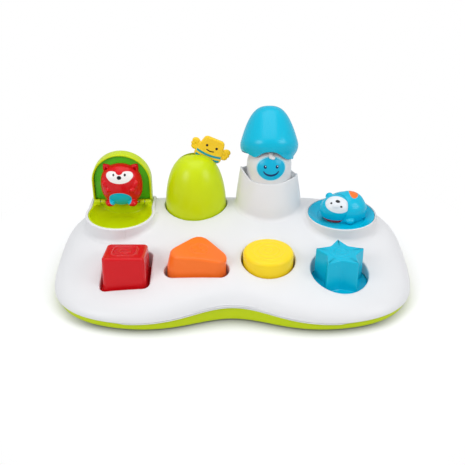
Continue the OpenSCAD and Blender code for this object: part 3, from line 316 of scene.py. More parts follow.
def buildCover():
    line = outline(0, deck["ringPoints"])
    inner = line * deck["inner"]
    lip, fillet, top = deck["lip"], deck["fillet"], pod["top"]
    start = {k: grow(h, fillet if k.startswith("pod") else lip) for k, h in holes.items()}
    # loose points: rings along the edge and a triangular grid inside them, but none in the openings
    g = deck["spacing"]
    gx, gy = np.meshgrid(np.arange(-190, 191, g), np.arange(-106, 107, g * 0.866))
    gx[1::2] += g / 2
    grid = np.column_stack([gx.ravel(), gy.ravel()])
    loose = [line[:: 2 if s < 0.9 else 1] * s for s in (0.955, 0.93, 0.9, 0.865, 0.825, 0.78)]
    loose = np.vstack(loose + [grid[inside(grid, line * 0.765)]])
    for h in start.values():
        loose = loose[~inside(loose, grow(h, 1.3))]
    # finer points round every opening
    extra = []
    for k, h in start.items():
        for d, step in ((1.1, 1), (2.6, 2)):
            ring = grow(h, d)[::step]
            ring = ring[inside(ring, line * 0.965)]
            for other, edge in start.items():
                if other != k:
                    ring = ring[~inside(ring, grow(edge, 0.6 * d))]
            extra.append(ring)
    extra = np.vstack(extra)
    loose = loose[[np.min(np.hypot(*(extra - p).T)) > 1.5 for p in loose]]
    spans, edges, cloud = {}, [], []
    for k, ring in [("rim", inner)] + list(start.items()):
        spans[k] = at = sum(len(r) for r in cloud)
        edges += [(at + i, at + (i + 1) % len(ring)) for i in range(len(ring))]
        cloud.append(ring)
    cloud = [Vector(p) for p in np.vstack(cloud + [loose, extra])]
    verts, _, tris, _, _, _ = delaunay_2d_cdt(cloud, edges, [], 0, 1e-5, False)
    xy, tris = np.array([tuple(v) for v in verts]), np.array(tris)
    mid, (u, v) = xy[tris].mean(axis=1), (xy[tris[:, k]] - xy[tris[:, 0]] for k in (1, 2))
    keep = inside(mid, inner) & (np.abs(u[:, 0] * v[:, 1] - u[:, 1] * v[:, 0]) > 1e-6)
    for h in start.values():
        keep &= ~inside(mid, h)
    faces = [tuple(t) for t in tris[keep]]
    points = [tuple(p) for p in flat(xy, deckZ(xy))]

    def strip(name, loops):
        # joins a ring of the deck to more rings, one after the other
        n, row = len(loops[0]), spans[name]
        for loop in loops:
            new = len(points)
            points.extend(tuple(p) for p in loop)
            faces.extend((row + i, row + (i + 1) % n, new + (i + 1) % n, new + i) for i in range(n))
            row = new

    # the rounded edge of the cover down to the seam
    seam = case["partZ"] + seamLift(line)
    loops = [flat(line * math.sin(t), np.maximum(deckZ(line * math.sin(t)), seam + 0.9))
             for t in np.linspace(math.asin(deck["inner"]), math.pi / 2, 12)[1:]]
    strip("rim", loops + [flat(grow(line, g), seam + z) for g, z in ((-0.25, 0.25), (-0.9, 0), (-2.6, 0))])
    for k in ("square", "triangle", "round", "star", "dome", "hill"):
        h, rim = holes[k], deckZ(start[k])
        socket = k in ("dome", "hill")
        bottom = deck["socketZ"] if socket else case["wellZ"]
        loops = [flat(grow(h, lip * (1 - math.sin(a))), rim - lip * (1 - math.cos(a))) for a in arc(18, 90, 5)]
        loops += [flat(h, (rim - lip) * (1 - f) + bottom * f) for f in (0.5, 1)]
        if socket:
            loops += [flat(grow(h, -deck["ledge"]), z) for z in (bottom, bottom - 2)]
        strip(k, loops)
    for k in ("podL", "podR"):
        h, foot, loops = holes[k], deckZ(start[k]), []
        for a in arc(15, 90, 6):
            q = grow(h, fillet * (1 - math.sin(a)))
            loops.append(flat(q, np.minimum((deckZ(q) + foot) / 2 + fillet * (1 - math.cos(a)), top - 2.2)))
        loops.append(flat(h, top - 1.3))
        loops += [flat(grow(h, math.cos(a) - 1), top - 1 + math.sin(a)) for a in arc(30, 90, 3)]
        if k == "podL":
            room = podLine(0.3)
            latch = (np.abs(room[:, 0] - latchRoom["x"]) < latchRoom["half"]) & (room[:, 1] < 0)
            room[latch, 1] = np.minimum(room[latch, 1], latchRoom["y"])
            loops += [flat(podLine(0.35), top), flat(podLine(0.3), top - 0.3), flat(room, top - 1.7), flat(room, 40)]
        else:
            rows = ((38.3, 62), (38, 61.7), (38, 52), (10, 52), (9.4, 51.5), (9.4, 46))
            loops += spinLoops(rows, pod["x"], pod["y"], 220)
        strip(k, loops)
    obj = outward(addMesh("cover", points, faces, 32), 2e-6, True)
    m = obj.modifiers.new("skin", "SOLIDIFY")
    m.thickness, m.offset, m.use_even_offset = deck["skin"] * mm, -1, False
    return shade(applyAll(obj), 32)


def linear(r, g, b):
    # a colour given as 0 to 255 on the screen, as the light value that shaders use
    levels = (c / 255 for c in (r, g, b))
    return tuple(c / 12.92 if c <= 0.04045 else ((c + 0.055) / 1.055) ** 2.4 for c in levels) + (1,)


def addNode(tree, kind, settings=(), **inputs):
    # a node with its settings and inputs; n0 stands for the first input
    shared = tree.bl_idname == "ShaderNodeTree" or kind in ("Math", "CombineXYZ")
    n = tree.nodes.new(("ShaderNode" if shared else "GeometryNode") + kind)
    for k, v in dict(settings).items():
        setattr(n, k, v)
    for k, v in inputs.items():
        s = n.inputs[int(k[1:])] if k[0] == "n" and k[1:].isdigit() else n.inputs[k.replace("_", " ")]
        if isinstance(v, bpy.types.NodeSocket):
            tree.links.new(v, s)
        else:
            s.default_value = v
    return n


def made(tree, kind, settings=(), **inputs):
    return addNode(tree, kind, settings, **inputs).outputs[0]


def maths(tree, kind, a, b=0.0):
    return made(tree, "Math", dict(operation=kind), n0=a, n1=b)


def blend(tree, mask, a, b):
    return addNode(tree, "Mix", dict(data_type="RGBA"), n0=mask, n6=a, n7=b).outputs[2]


def newGroup(name, ins, outs, kind="ShaderNodeTree"):
    # ins gives each input's label, type and value, and outs each output's label and type
    g = bpy.data.node_groups.new(name, kind)
    for label, type_, value in ins:
        s = g.interface.new_socket(label, in_out="INPUT", socket_type="NodeSocket" + type_)
        if value is not None:
            s.default_value = value
    for label, type_ in outs:
        g.interface.new_socket(label, in_out="OUTPUT", socket_type="NodeSocket" + type_)
    return g, g.nodes.new("NodeGroupInput").outputs, g.nodes.new("NodeGroupOutput").inputs


def makeGrain():
    # fine moulding grain, slow tone drift and faint handling marks
    ins = [("Point", "Vector", None), ("Grain Size", "Float", 900.0), ("Marks", "Float", 0.3)]
    g, i, o = newGroup("mouldGrain", ins, [("Height", "Float"), ("Tone", "Float"), ("Rub", "Float")])
    fine = made(g, "TexNoise", Vector=i["Point"], Scale=i["Grain Size"], Detail=3.0, Roughness=0.6)
    slow = made(g, "TexNoise", Vector=i["Point"], Scale=26.0, Detail=2.0, Roughness=0.5)
    turned = made(g, "Mapping", Vector=i["Point"], Rotation=(0.4, 0.3, 0.9), Scale=(60, 900, 300))
    streak = made(g, "TexNoise", Vector=turned, Scale=1.0, Detail=4.0, Roughness=0.7)
    rub = maths(g, "MULTIPLY", made(g, "MapRange", Value=streak, From_Min=0.66, From_Max=0.74), i["Marks"])
    g.links.new(maths(g, "SUBTRACT", fine, maths(g, "MULTIPLY", rub, 0.6)), o["Height"])
    g.links.new(slow, o["Tone"])
    g.links.new(rub, o["Rub"])
    return g


def makeEdge():
    # worn, slightly paler edges and painted shade in the hollows, from the surface's own bend
    g, i, o = newGroup("edgeWearAndShade", [("Point", "Vector", None), ("Amount", "Float", 0.5)],
                       [("Edge", "Float"), ("HollowShade", "Float")])
    bend = addNode(g, "NewGeometry").outputs["Pointiness"]
    edge = made(g, "MapRange", Value=bend, From_Min=0.53, From_Max=0.62)
    # painted shade: 1 in the hollows, where the surface curves inwards
    low = made(g, "MapRange", Value=bend, From_Min=0.47, From_Max=0.40)
    patch = made(g, "TexNoise", Vector=i["Point"], Scale=140.0, Detail=3.0)
    patch = made(g, "MapRange", Value=patch, From_Min=0.35, From_Max=0.65)
    g.links.new(maths(g, "MULTIPLY", maths(g, "MULTIPLY", edge, patch), i["Amount"]), o["Edge"])
    g.links.new(maths(g, "MULTIPLY", low, i["Amount"]), o["HollowShade"])
    return g


def makeOval():
    # a painted oval in the X-Z plane of the mapped point, 1 inside and 0 outside
    g, i, o = newGroup("paintOval", [("Point", "Vector", None)] + [(label, "Float", value) for label, value in (
        ("X", 0.0), ("Z", 0.0), ("Half Width", 0.005), ("Half Height", 0.005), ("Blur", 0.03))], [("Mask", "Float")])
    xyz = addNode(g, "SeparateXYZ", Vector=i["Point"]).outputs
    u = maths(g, "DIVIDE", maths(g, "SUBTRACT", xyz[0], i["X"]), i["Half Width"])
    v = maths(g, "DIVIDE", maths(g, "SUBTRACT", xyz[2], i["Z"]), i["Half Height"])
    far = maths(g, "SQRT", maths(g, "ADD", maths(g, "MULTIPLY", u, u), maths(g, "MULTIPLY", v, v)))
    mask = made(g, "MapRange", Value=far, From_Min=maths(g, "SUBTRACT", 1.0, i["Blur"]),
                From_Max=maths(g, "ADD", 1.0, i["Blur"]), To_Min=1.0, To_Max=0.0)
    g.links.new(mask, o["Mask"])
    return g


grainGroup, edgeGroup, ovalGroup = makeGrain(), makeEdge(), makeOval()


def newTree(owner):
    owner.use_nodes = True
    owner.node_tree.nodes.clear()
    return owner.node_tree


def plastic(name, colour, rough=0.3, grain=0.02, size=900.0, tone=0.05, wearAndShade=0.35, marks=0.3, paint=()):
    # moulded plastic; paint is a list of (mask maker, colour) laid over it in turn
    m = bpy.data.materials.new(name)
    t = newTree(m)
    b = addNode(t, "BsdfPrincipled", IOR=1.48, Specular_IOR_Level=0.3)
    t.links.new(b.outputs[0], addNode(t, "OutputMaterial").inputs[0])
    point = addNode(t, "TexCoord").outputs["Object"]
    g = addNode(t, "Group", dict(node_tree=grainGroup), Point=point, Grain_Size=size, Marks=marks).outputs
    e = addNode(t, "Group", dict(node_tree=edgeGroup), Point=point, Amount=wearAndShade).outputs
    base = linear(*colour)
    dark, pale, worn, hollowShade = (tuple(f(c) for c in base[:3]) + (1,) for f in (
        lambda c: c * (1 - tone), lambda c: min(1, c * (1 + tone * 0.6)),
        lambda c: c + (1 - c) * 0.25, lambda c: c * 0.72))
    body = blend(t, g["Tone"], dark, pale)
    for maker, over in paint:
        body = blend(t, maker(t, point), body, linear(*over))
    body = blend(t, maths(t, "MULTIPLY", e["Edge"], 0.35), body, worn)
    # painted shade: the colour darkens in the hollows
    body = blend(t, maths(t, "MULTIPLY", e["HollowShade"], 0.4), body, hollowShade)
    shine = maths(t, "ADD", rough - 0.03, maths(t, "MULTIPLY", g["Tone"], 0.06))
    rubbed = maths(t, "MULTIPLY", maths(t, "ADD", g["Rub"], e["Edge"]), 0.12)
    bumps = made(t, "Bump", Strength=1.0, Distance=grain * mm, Height=g["Height"])
    for value, socket in ((body, "Base Color"), (maths(t, "ADD", shine, rubbed), "Roughness"), (bumps, "Normal")):
        t.links.new(value, b.inputs[socket])
    return m


def oval(x, z, w, h, blur=0.04, shift=(0, 0, 0), turn=(0, 0, 0)):
    # a mask maker: an oval at x, z in millimetres, in the frame that shift and turn (degrees) set
    def make(t, point):
        at = made(t, "Mapping", dict(vector_type="TEXTURE"), Vector=point, Location=tuple(c * mm for c in shift),
                  Rotation=tuple(math.radians(a) for a in turn))
        return made(t, "Group", dict(node_tree=ovalGroup), Point=at, X=x * mm, Z=z * mm, Half_Width=w * mm,
                    Half_Height=h * mm, Blur=blur)
    return make


def merge(kind, makers):
    def make(t, point):
        out = makers[0](t, point)
        for m in makers[1:]:
            out = maths(t, kind, out, m(t, point))
        return out
    return make


def either(*makers):
    return merge("MAXIMUM", makers)


def both(*makers):
    return merge("MULTIPLY", makers)


def without(first, other):
    return both(first, lambda t, point: maths(t, "SUBTRACT", 1.0, other(t, point)))


def twoOvals(x0, x1, *sizes, **at):
    return either(oval(x0, *sizes, **at), oval(x1, *sizes, **at))


def facing(axis, limit, kind="LESS_THAN"):
    # 1 where the object coordinate is below (or above) the limit, in millimetres
    def make(t, point):
        return maths(t, kind, addNode(t, "SeparateXYZ", Vector=point).outputs["XYZ".index(axis)], limit * mm)
    return make


# each slot's name, screen colour, roughness, grain depth and, where they differ, grain size, tone, amount of edge wear
# and painted hollow shade, and marks
skyBlue, ink = (0, 184, 216), (18, 18, 22)
finishes = dict(
    white=("whitePlastic", (226, 226, 227), 0.34, 0.018, 800, 0.03, 0.2, 0.25),
    lime=("limePlastic", (200, 220, 4), 0.3, 0.02), deep_green=("greenPlastic", (80, 190, 6), 0.38, 0.03, 700),
    sky=("skyPlastic", skyBlue, 0.26, 0.015), red=("redPlastic", (214, 14, 24), 0.22, 0.012),
    orange=("orangePlastic", (254, 120, 40), 0.3, 0.02), yellow=("yellowPlastic", (255, 218, 34), 0.34, 0.025),
    foot=("footRubber", (60, 60, 62), 0.75, 0.08, 500, 0.1, 0.5),
    steel=("steelFinish", (190, 192, 196), 0.3, 0.01, 1400, 0.05, 0.2))
finishes = {slot: plastic(*row) for slot, row in finishes.items()}
finishes["steel"].node_tree.nodes["Principled BSDF"].inputs["Metallic"].default_value = 1.0

camera = dict(place=(0, -0.6865, 0.455), tilt=59.7, focal=720 / 465)    # metres, degrees, picture widths
lamps = dict(    # place in metres, turn in degrees, size in metres and power
    topLamp=((0.0, 0.05, 1.4), (0, 0, 0), 1.3, 8.5), leftLamp=((-1.1, -0.9, 0.95), (58, 0, -50), 0.7, 8.2),
    rightLamp=((1.15, -0.6, 0.85), (60, 0, 62), 0.7, 6.3))
# contact and deepest set how far the floor's painted shadow under the toy reaches and how dark it gets; ends is where
# it fades out across X
backdrop = dict(soft=0.5, softColour=(0.94, 0.96, 1.0, 1), skyShine=0.22, floorShine=0.3, bounce=(0.72, 0.72, 0.72, 1),
                floorColour=(0.9, 0.9, 0.9, 1), floorGlow=0.13, paintedShadowReach=0.045, darkestPaintedShadow=0.28, ends=(0.11, 0.185),
                plain=(0.23, 0.33))


def raySeen(t, shine):
    # 1 for the camera and clear rays, shine for glossy ones and 0 for the light that falls on the toy
    path = addNode(t, "LightPath").outputs
    glossy = maths(t, "MULTIPLY", path["Is Glossy Ray"], shine)
    return maths(t, "MAXIMUM", path["Is Camera Ray"], maths(t, "MAXIMUM", glossy, path["Is Transmission Ray"]))


def eased(t, value, span, low=0.0, high=1.0):
    return made(t, "MapRange", dict(interpolation_type="SMOOTHSTEP"), Value=value, From_Min=span[0], From_Max=span[1],
                To_Min=low, To_Max=high)


def buildStage():
    cam = bpy.data.cameras.new("camera")
    cam.sensor_width, cam.lens = 36, 36 * camera["focal"]
    at = newObject("camera", cam)
    at.location, at.rotation_euler = camera["place"], (math.radians(camera["tilt"]), 0, 0)
    scene.camera = at
    for name, (place_, turn, size, power) in lamps.items():
        lamp = bpy.data.lights.new(name, "AREA")
        lamp.shape, lamp.size, lamp.energy = "SQUARE", size, power
        o = newObject(name, lamp)
        o.location, o.rotation_euler = place_, tuple(math.radians(a) for a in turn)
    scene.world = bpy.data.worlds.new("studio")
    t = newTree(scene.world)
    soft = made(t, "Background", Color=backdrop["softColour"], Strength=backdrop["soft"])
    bright = made(t, "Background", Color=(1, 1, 1, 1), Strength=1.0)
    mix = made(t, "MixShader", n0=raySeen(t, backdrop["skyShine"]), n1=soft, n2=bright)
    t.links.new(mix, addNode(t, "OutputWorld").inputs[0])
    mesh = bpy.data.meshes.new("floor")
    mesh.from_pydata([(-6, -6, 0), (6, -6, 0), (6, 6, 0), (-6, 6, 0)], [], [(0, 1, 2, 3)])
    floor = newObject("floor", mesh)
    m = bpy.data.materials.new("paleFloor")
    t = newTree(m)
    plain = made(t, "BsdfDiffuse", Color=backdrop["bounce"])
    # painted shadow: the floor's colour and glow darken where the toy all but touches the floor, but not past its ends,
    # where the lamps reach under the rim
    hidden = addNode(t, "AmbientOcclusion", dict(samples=10), Distance=backdrop["paintedShadowReach"]).outputs["AO"]
    point = addNode(t, "TexCoord").outputs["Object"]
    across = maths(t, "ABSOLUTE", made(t, "SeparateXYZ", Vector=point))
    outsidePaintedShadow = maths(t, "MAXIMUM", eased(t, hidden, (0.1, 0.95), backdrop["darkestPaintedShadow"]),
                 eased(t, across, backdrop["ends"], 0, 0.93))
    lit = made(t, "BsdfDiffuse", Color=blend(t, outsidePaintedShadow, (0, 0, 0, 1), backdrop["floorColour"]))
    glow = made(t, "Emission", Color=(1, 1, 1, 1), Strength=maths(t, "MULTIPLY", outsidePaintedShadow, backdrop["floorGlow"]))
    near = made(t, "AddShader", n0=lit, n1=glow)
    # plain white further out, where no shadow falls
    far = addNode(t, "VectorMath", dict(operation="LENGTH"), n0=point).outputs["Value"]
    clear = made(t, "Emission", Color=(1, 1, 1, 1), Strength=1.0)
    shown = made(t, "MixShader", n0=eased(t, far, backdrop["plain"]), n1=near, n2=clear)
    mix = made(t, "MixShader", n0=raySeen(t, backdrop["floorShine"]), n1=plain, n2=shown)
    t.links.new(mix, addNode(t, "OutputMaterial").inputs[0])
    mesh.materials.append(m)
    scene.view_settings.view_transform = "Standard"


buildStage()
print("stage, lamps and camera are in place")


def place(obj, body, slot, node, material=None):
    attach(obj, body)
    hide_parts(node)
    obj.data.materials.clear()
    obj.data.materials.append(material or finishes[slot])
    return obj


def slab(name, line, a, b, axis="z", edge=0.6, steps=3, smooth=50):
    # an outline drawn out from a to b along an axis, with rounded edges
    turns = arc(0, 90, steps + 1)
    rows = [(t, a + edge * (1 - math.cos(t))) for t in turns]
    rows += [(t, b - edge * (1 - math.cos(t))) for t in turns[::-1]]
    loops = []
    for t, w in rows:
        loop = flat(grow(line, -edge * (1 - math.sin(t))), w)
        loops.append(loop[:, dict(x=(2, 0, 1), y=(0, 2, 1), z=(0, 1, 2))[axis]])
    return loft(name, loops, smooth=smooth)


def box(name, x0, x1, y0, y1, z0, z1, r=0.8, edge=0.4, count=40):
    return slab(name, boxLine(x0, x1, y0, y1, r, count), z0, z1, "z", edge, 2)


def rodX(name, span, y, z, r, edge=0.4, steps=2, count=32):
    return slab(name, circleLine(y, z, r, count), *span, "x", edge, steps)


def disc(name, x, y, r, z0, z1, count, edge, steps=2):
    return slab(name, circleLine(x, y, r, count), z0, z1, "z", edge, steps)


def cutter(x0, x1, y0, y1, z0, z1):
    p = [(x, y, z) for z in (z0, z1) for x, y in ((x0, y0), (x1, y0), (x1, y1), (x0, y1))]
    return addMesh("cutter", p, [(3, 2, 1, 0), (4, 5, 6, 7), (0, 1, 5, 4), (1, 2, 6, 5), (2, 3, 7, 6), (3, 0, 4, 7)])


def ball(name, at, r, turn=0.0):
    # an ellipsoid; turn leans it round Y in degrees
    c, s = math.cos(math.radians(turn)), math.sin(math.radians(turn))
    spin = np.array([(c, 0, -s), (0, 1, 0), (s, 0, c)])
    rings = [(math.cos(k), math.sin(k)) for k in arc(-90, 90, 21)[1:-1]]
    return loft(name, [loop * r @ spin + at for loop in spinLoops(rings, 0, 0, 40)], smooth=80)


def coil(name, base, run, u, v, wide, wire, turns):
    # a wire wound from base along run, round the plane of u and v
    base, run, u, v = (np.array(q, float) for q in (base, run, u, v))
    along = np.abs(run) / np.linalg.norm(run)
    loops = []
    for a in np.linspace(0, 2 * math.pi * turns, turns * 28 + 1):
        out = math.cos(a) * u + math.sin(a) * v
        at = base + run * a / (2 * math.pi * turns) + wide * out
        loops.append([at + wire * (math.cos(b) * out + math.sin(b) * along) for b in np.arange(10) * math.pi / 5])
    return loft(name, loops, smooth=50)


def relief(line, height, centre, tops):
    # rings from an outline to its middle whose height follows a function of the place
    steps = max(8, int(np.min(np.linalg.norm(line - centre, axis=1)) / 0.8) + 6)
    rings = (centre + (line - centre) * (1 - k / steps) for k in range(1, steps))
    return [flat(q, tops(*q.T) + height(*q.T)) for q in rings]


# lower shell: drawn-in distance and height of its rings, guide posts (x, y, radius) and pivot lugs (x, y, z, gap)
shell = dict(
    rows=((14, 1.2), (6.2, 1.2), (5.0, 1.35), (3.9, 2.0), (3.2, 3.1), (2.9, 4.5), (2.9, 10.2), (3.1, 10.8), (3.9, 11),
          (3.9, 12.8), (4.1, 13), (5.3, 13), (5.4, 12.8), (5.4, 4.5), (6.2, 3.7), (16, 3.7)),
    posts=((*squareAt, 3.5), (*starAt, 3.5), (-53.6, -52, 3), (-21.6, -52, 3), (23, -46, 3), (53, -46, 3)),
    lugs=((-48, 13, 17, 8), (38, -6, 17, 8), (latchRoom["x"], *latchAxis, 6)), floor=2.6, railX=110.6)


def buildBottom():
    n, floor = 420, shell["floor"]
    lift = seamLift(outline(3, n))
    body = loft("bottomShell", [flat(outline(g, n), z + lift * (g < 6 and 4.6 < z)) for g, z in shell["rows"]])
    inner = [disc("boss", x, y, 6, floor, 7, 32, 0.3) for x, y in screwsAt]
    inner += [disc("post", x, y, r, floor, 40, 28, 0.6, 3) for x, y, r in shell["posts"]]
    inner.append(disc("socket", pod["x"], pod["y"], 7, floor, 7.7, 40, 0.3, 3))
    for x, y, z, w in shell["lugs"]:
        line = lugLine(y, z, 4, floor, 15, 60)
        inner += [slab("lug", line, *u, "x", 0.3, 2) for u in pair(x, w / 2 + 0.6, w / 2 + 3.6)]
    inner += [box("rail", *u, -12, 12, floor, 7.7, 0.4, 0.3, 32) for u in pair(shell["railX"], 4.8, 6.8)]
    cut(body, join("inner", *inner), kind="UNION")
    recesses = [disc("recess", x, y, 3.3, -2, 4.2, 32, 0.1, 1) for x, y in screwsAt]
    bores = [disc("bore", x, y, 1.7, -1, 9, 24, 0.1, 1) for x, y in screwsAt]
    bores.append(disc("bore", pod["x"], pod["y"], 4.05, 3.7, 9, 40, 0.1, 1))
    return shade(cut(body, join("recesses", *recesses), join("bores", *bores)))


tray = dict(floor=45.5, under=43.7, flat=19.5, rise=15.6, backWall=26.2, ears=(25.8, 33.2), lugRoom=(19.5, 25.7),
            latchRoom=(-127.6, -119.2, -7.4, -0.3, 42, 60.9))


def bowlLine(k, g=0.0):
    # a ring of the tray's dish, from its flat floor at k = 0 to the rim at k = 1, cut straight at its back
    p = podLine(g - 1.7) - leftMid
    a = np.arctan2(p[:, 1], p[:, 0])
    low, up = tray["flat"] + g, np.sin(a) > 0.05
    far = low + (np.minimum(np.hypot(*p.T), 36) - low) * k
    far[up] = np.minimum(far[up], (tray["backWall"] + g) / np.sin(a[up]))
    return around(*leftMid, far, a)


def buildTray():
    floor, under = tray["floor"], tray["under"]
    shrunk = lambda k: leftMid + (bowlLine(0) - leftMid) * k
    loops = [flat(shrunk(k), floor) for k in (0.2, 0.7)]
    loops += [flat(bowlLine(math.sin(t)), floor + tray["rise"] * (1 - math.cos(t))) for t in arc(0, 90, 20)]
    loops += [flat(bowlLine(1) * (1 - k) + podLine(-0.8) * k, z)
              for k, z in ((0.12, 61.55), (0.35, 61.85), (0.7, 62), (1, 62))]
    loops += [flat(podLine(-0.8 + 0.8 * math.sin(t)), 61.2 + 0.8 * math.cos(t)) for t in arc(30, 90, 3)]
    loops += [flat(podLine(0), 52.6), flat(podLine(-0.5), 51.9)]
    loops += [flat(bowlLine(k, 1.9), z) for k, z in ((0.94, 51.6), (0.8, 49.8), (0.6, 46.6), (0.3, 44.2), (0, under))]
    body = loft("foxTray", loops + [flat(shrunk(0.3), under)], smooth=45)
    cut(body, *[cutter(*x, 52.1, 59.1, 59.7, 72) for x in pair(leftX, *tray["lugRoom"])], cutter(*tray["latchRoom"]))
    line = lugLine(*lidAxis, 3.1, 60.6, 17, 72)
    ears = [slab("ear", line, *x, "x") for x in pair(leftX, *tray["ears"])]
    return shade(join("foxTray", body, *ears), 45)


dome = dict(radius=35.0, foot=58.0, height=62.5, power=0.72, wall=2, slotY=89.4, slot=(60.7, 67.3))


def buildDome():
    def side(g):
        r, high = dome["radius"] - g, dome["height"] - g
        return [(r, 38), (r, 48)] + [(r * math.cos(k) ** dome["power"], dome["foot"] + high * math.sin(k))
                                     for k in arc(0, 88.5, 40)]
    body = loft("bushDome", spinLoops(side(dome["wall"])[::-1] + side(0), *domeAt, 180), smooth=60)
    # the slot that the bee's arm swings in
    p = np.array([(-6, 8), (6, 8), (42, 30), (42, 60), (-42, 60), (-42, 30)]) + (domeAt[0], dome["slotY"])
    sides = [(i, i + 6, (i + 1) % 6 + 6, (i + 1) % 6) for i in range(6)]
    slot = addMesh("slot", [(u, y, v) for y in dome["slot"] for u, v in p],
                   [tuple(range(6)), tuple(range(11, 5, -1))] + sides)
    return shade(cut(body, outward(slot)), 40)


hill = dict(foot=38.0, rim=32.5, top=105, backRim=29.4, frontRim=26.7, dip=8.0, backDip=7.5, left=2.2,
            right=-6.6, lip=26.2, count=200)


def snowLine(a):
    # how far the wavy snow line lies above the mountain's top, by the angle round the hill
    c, s = np.cos(a), np.sin(a)
    return np.where(c < 0, hill["left"], hill["right"]) * np.abs(c) ** 1.5 * np.where(s > 0, 1 - s ** 2, 1)


def hillRing(k, g=0.0):
    # a ring of the mountain's flank: k is 0 at z 62 and 1 at the rim
    a = np.arange(hill["count"]) * 2 * math.pi / hill["count"]
    front, back = np.clip((-np.sin(a) - 0.2) / 0.46, 0, 1), np.clip(np.sin(a), 0, 1)
    front = front * front * (3 - 2 * front)
    top = hill["top"] + snowLine(a) * (1 - front) - hill["dip"] * front - hill["backDip"] * np.tanh(back / 0.36)
    wide = hill["rim"] + (hill["backRim"] - hill["rim"]) * back ** 3 + (hill["frontRim"] - hill["rim"]) * front
    return flat(around(*hillAt, hill["foot"] - (hill["foot"] - wide) * k ** 1.25 - g, a), 62 + (top - 62) * k)


def buildMountain():
    lip, middle = hill["lip"], np.array(hillAt)
    ring = lambda r: circleLine(*hillAt, r, hill["count"])
    onDeck = lambda r, up: flat(ring(r), deckZ(ring(r)) + up)
    loops = [flat(ring(35.8), z) for z in (42, 61)] + [hillRing(k, 2.4) - (0, 0, 0.5) for k in (0.2, 0.4, 0.6)]
    loops += [flat(ring(r), z) for r, z in ((28.0, 89.2), (26.7, 90.4), (lip, 90.6), (lip, 91.8))]
    low, high = loops[-1], hillRing(1, 2.1) - (0, 0, 0.5)
    for k in (0.3, 0.6, 0.85, 1):
        loop = low * (1 - k) + high * k
        far = np.hypot(*(loop[:, :2] - middle).T)
        loop[:, :2] = middle + (loop[:, :2] - middle) * (np.maximum(far, lip) / far)[:, None]
        loops.append(loop)
    loops += [hillRing(1, 0.75 - 0.75 * math.sin(t)) + (0, 0, 0.5 * math.cos(t) - 0.25) for t in arc(-60, 60, 4)]
    loops += [hillRing(k) for k in np.linspace(0.985, 0.2, 22)]
    # a soft foot that spreads over the deck
    for d in np.linspace(0, 1, 9):
        a = math.pi / 2 * d
        foot = ring(37.5 + 0.5 * d + 4 * (1 - math.cos(a)))
        loops.append(flat(foot, deckZ(foot) * d + deckZ(ring(42)) * (1 - d) + 0.12 + 5 * (1 - math.sin(a))))
    loops += [onDeck(r, up) for r, up in ((42.2, 0.05), (41.4, 0.05), (40.4, 0.05), (38, -0.6))]
    loops += [flat(ring(38), 38.2), flat(ring(35.8), 38.2), loops[0]]
    body = outward(addMesh("mountainShell", np.vstack(loops), loftFaces(hill["count"], len(loops)), 40))
    y, z = capAxis
    p = np.vstack([[(y - 6, z - 9), (y - 2.2, z - 9), (y + 2.5, z - 2.5)],
                   around(y, z, 2.6, np.linspace(-0.2, math.pi * 1.1, 17)), [(y - 3.4, z - 2.4)]])
    lugs = [slab("lug", resample(p, 70), *u, "x", 0.4, 2) for u in pair(hillAt[0], 5.4, 8.4)]
    return shade(join("mountainShell", body, *lugs), 40)


def copyForm(g, points, form, material, out):
    # the tail of both trees below: the form on every point, as real mesh in its material
    put = made(g, "InstanceOnPoints", Points=points, Instance=form)
    paint = made(g, "SetMaterial", Geometry=made(g, "RealizeInstances", Geometry=put), Material=material)
    g.links.new(paint, out)
    return g


def pointTree(name, values):
    ins = [(k, "Int" if isinstance(v, int) else "Float", v) for k, v in values.items()]
    return newGroup(name, [("Geometry", "Geometry", None)] + ins, [("Geometry", "Geometry")], "GeometryNodeTree")


def footTree(material):
    # ring shaped feet on the points of the input
    g, i, o = pointTree("feetOnPoints", {"Radius": 0.008, "Height": 0.0012, "Sides": 48})
    half = maths(g, "MULTIPLY", i["Radius"], 0.5)
    path = made(g, "CurvePrimitiveCircle", dict(mode="RADIUS"), Resolution=i["Sides"], Radius=half)
    quad = made(g, "CurvePrimitiveQuadrilateral", dict(mode="RECTANGLE"), Width=half, Height=i["Height"])
    soft = made(g, "FilletCurve", dict(mode="POLY"), Curve=quad, Count=3, Radius=0.0003)
    wide = made(g, "Transform", Geometry=soft, Scale=(1.98, 0.98, 1.0))
    ring = made(g, "CurveToMesh", Curve=path, Profile_Curve=wide)
    lift = made(g, "CombineXYZ", n2=maths(g, "MULTIPLY", i["Height"], 0.5))
    return copyForm(g, i["Geometry"], made(g, "Transform", Geometry=ring, Translation=lift), material, o[0])


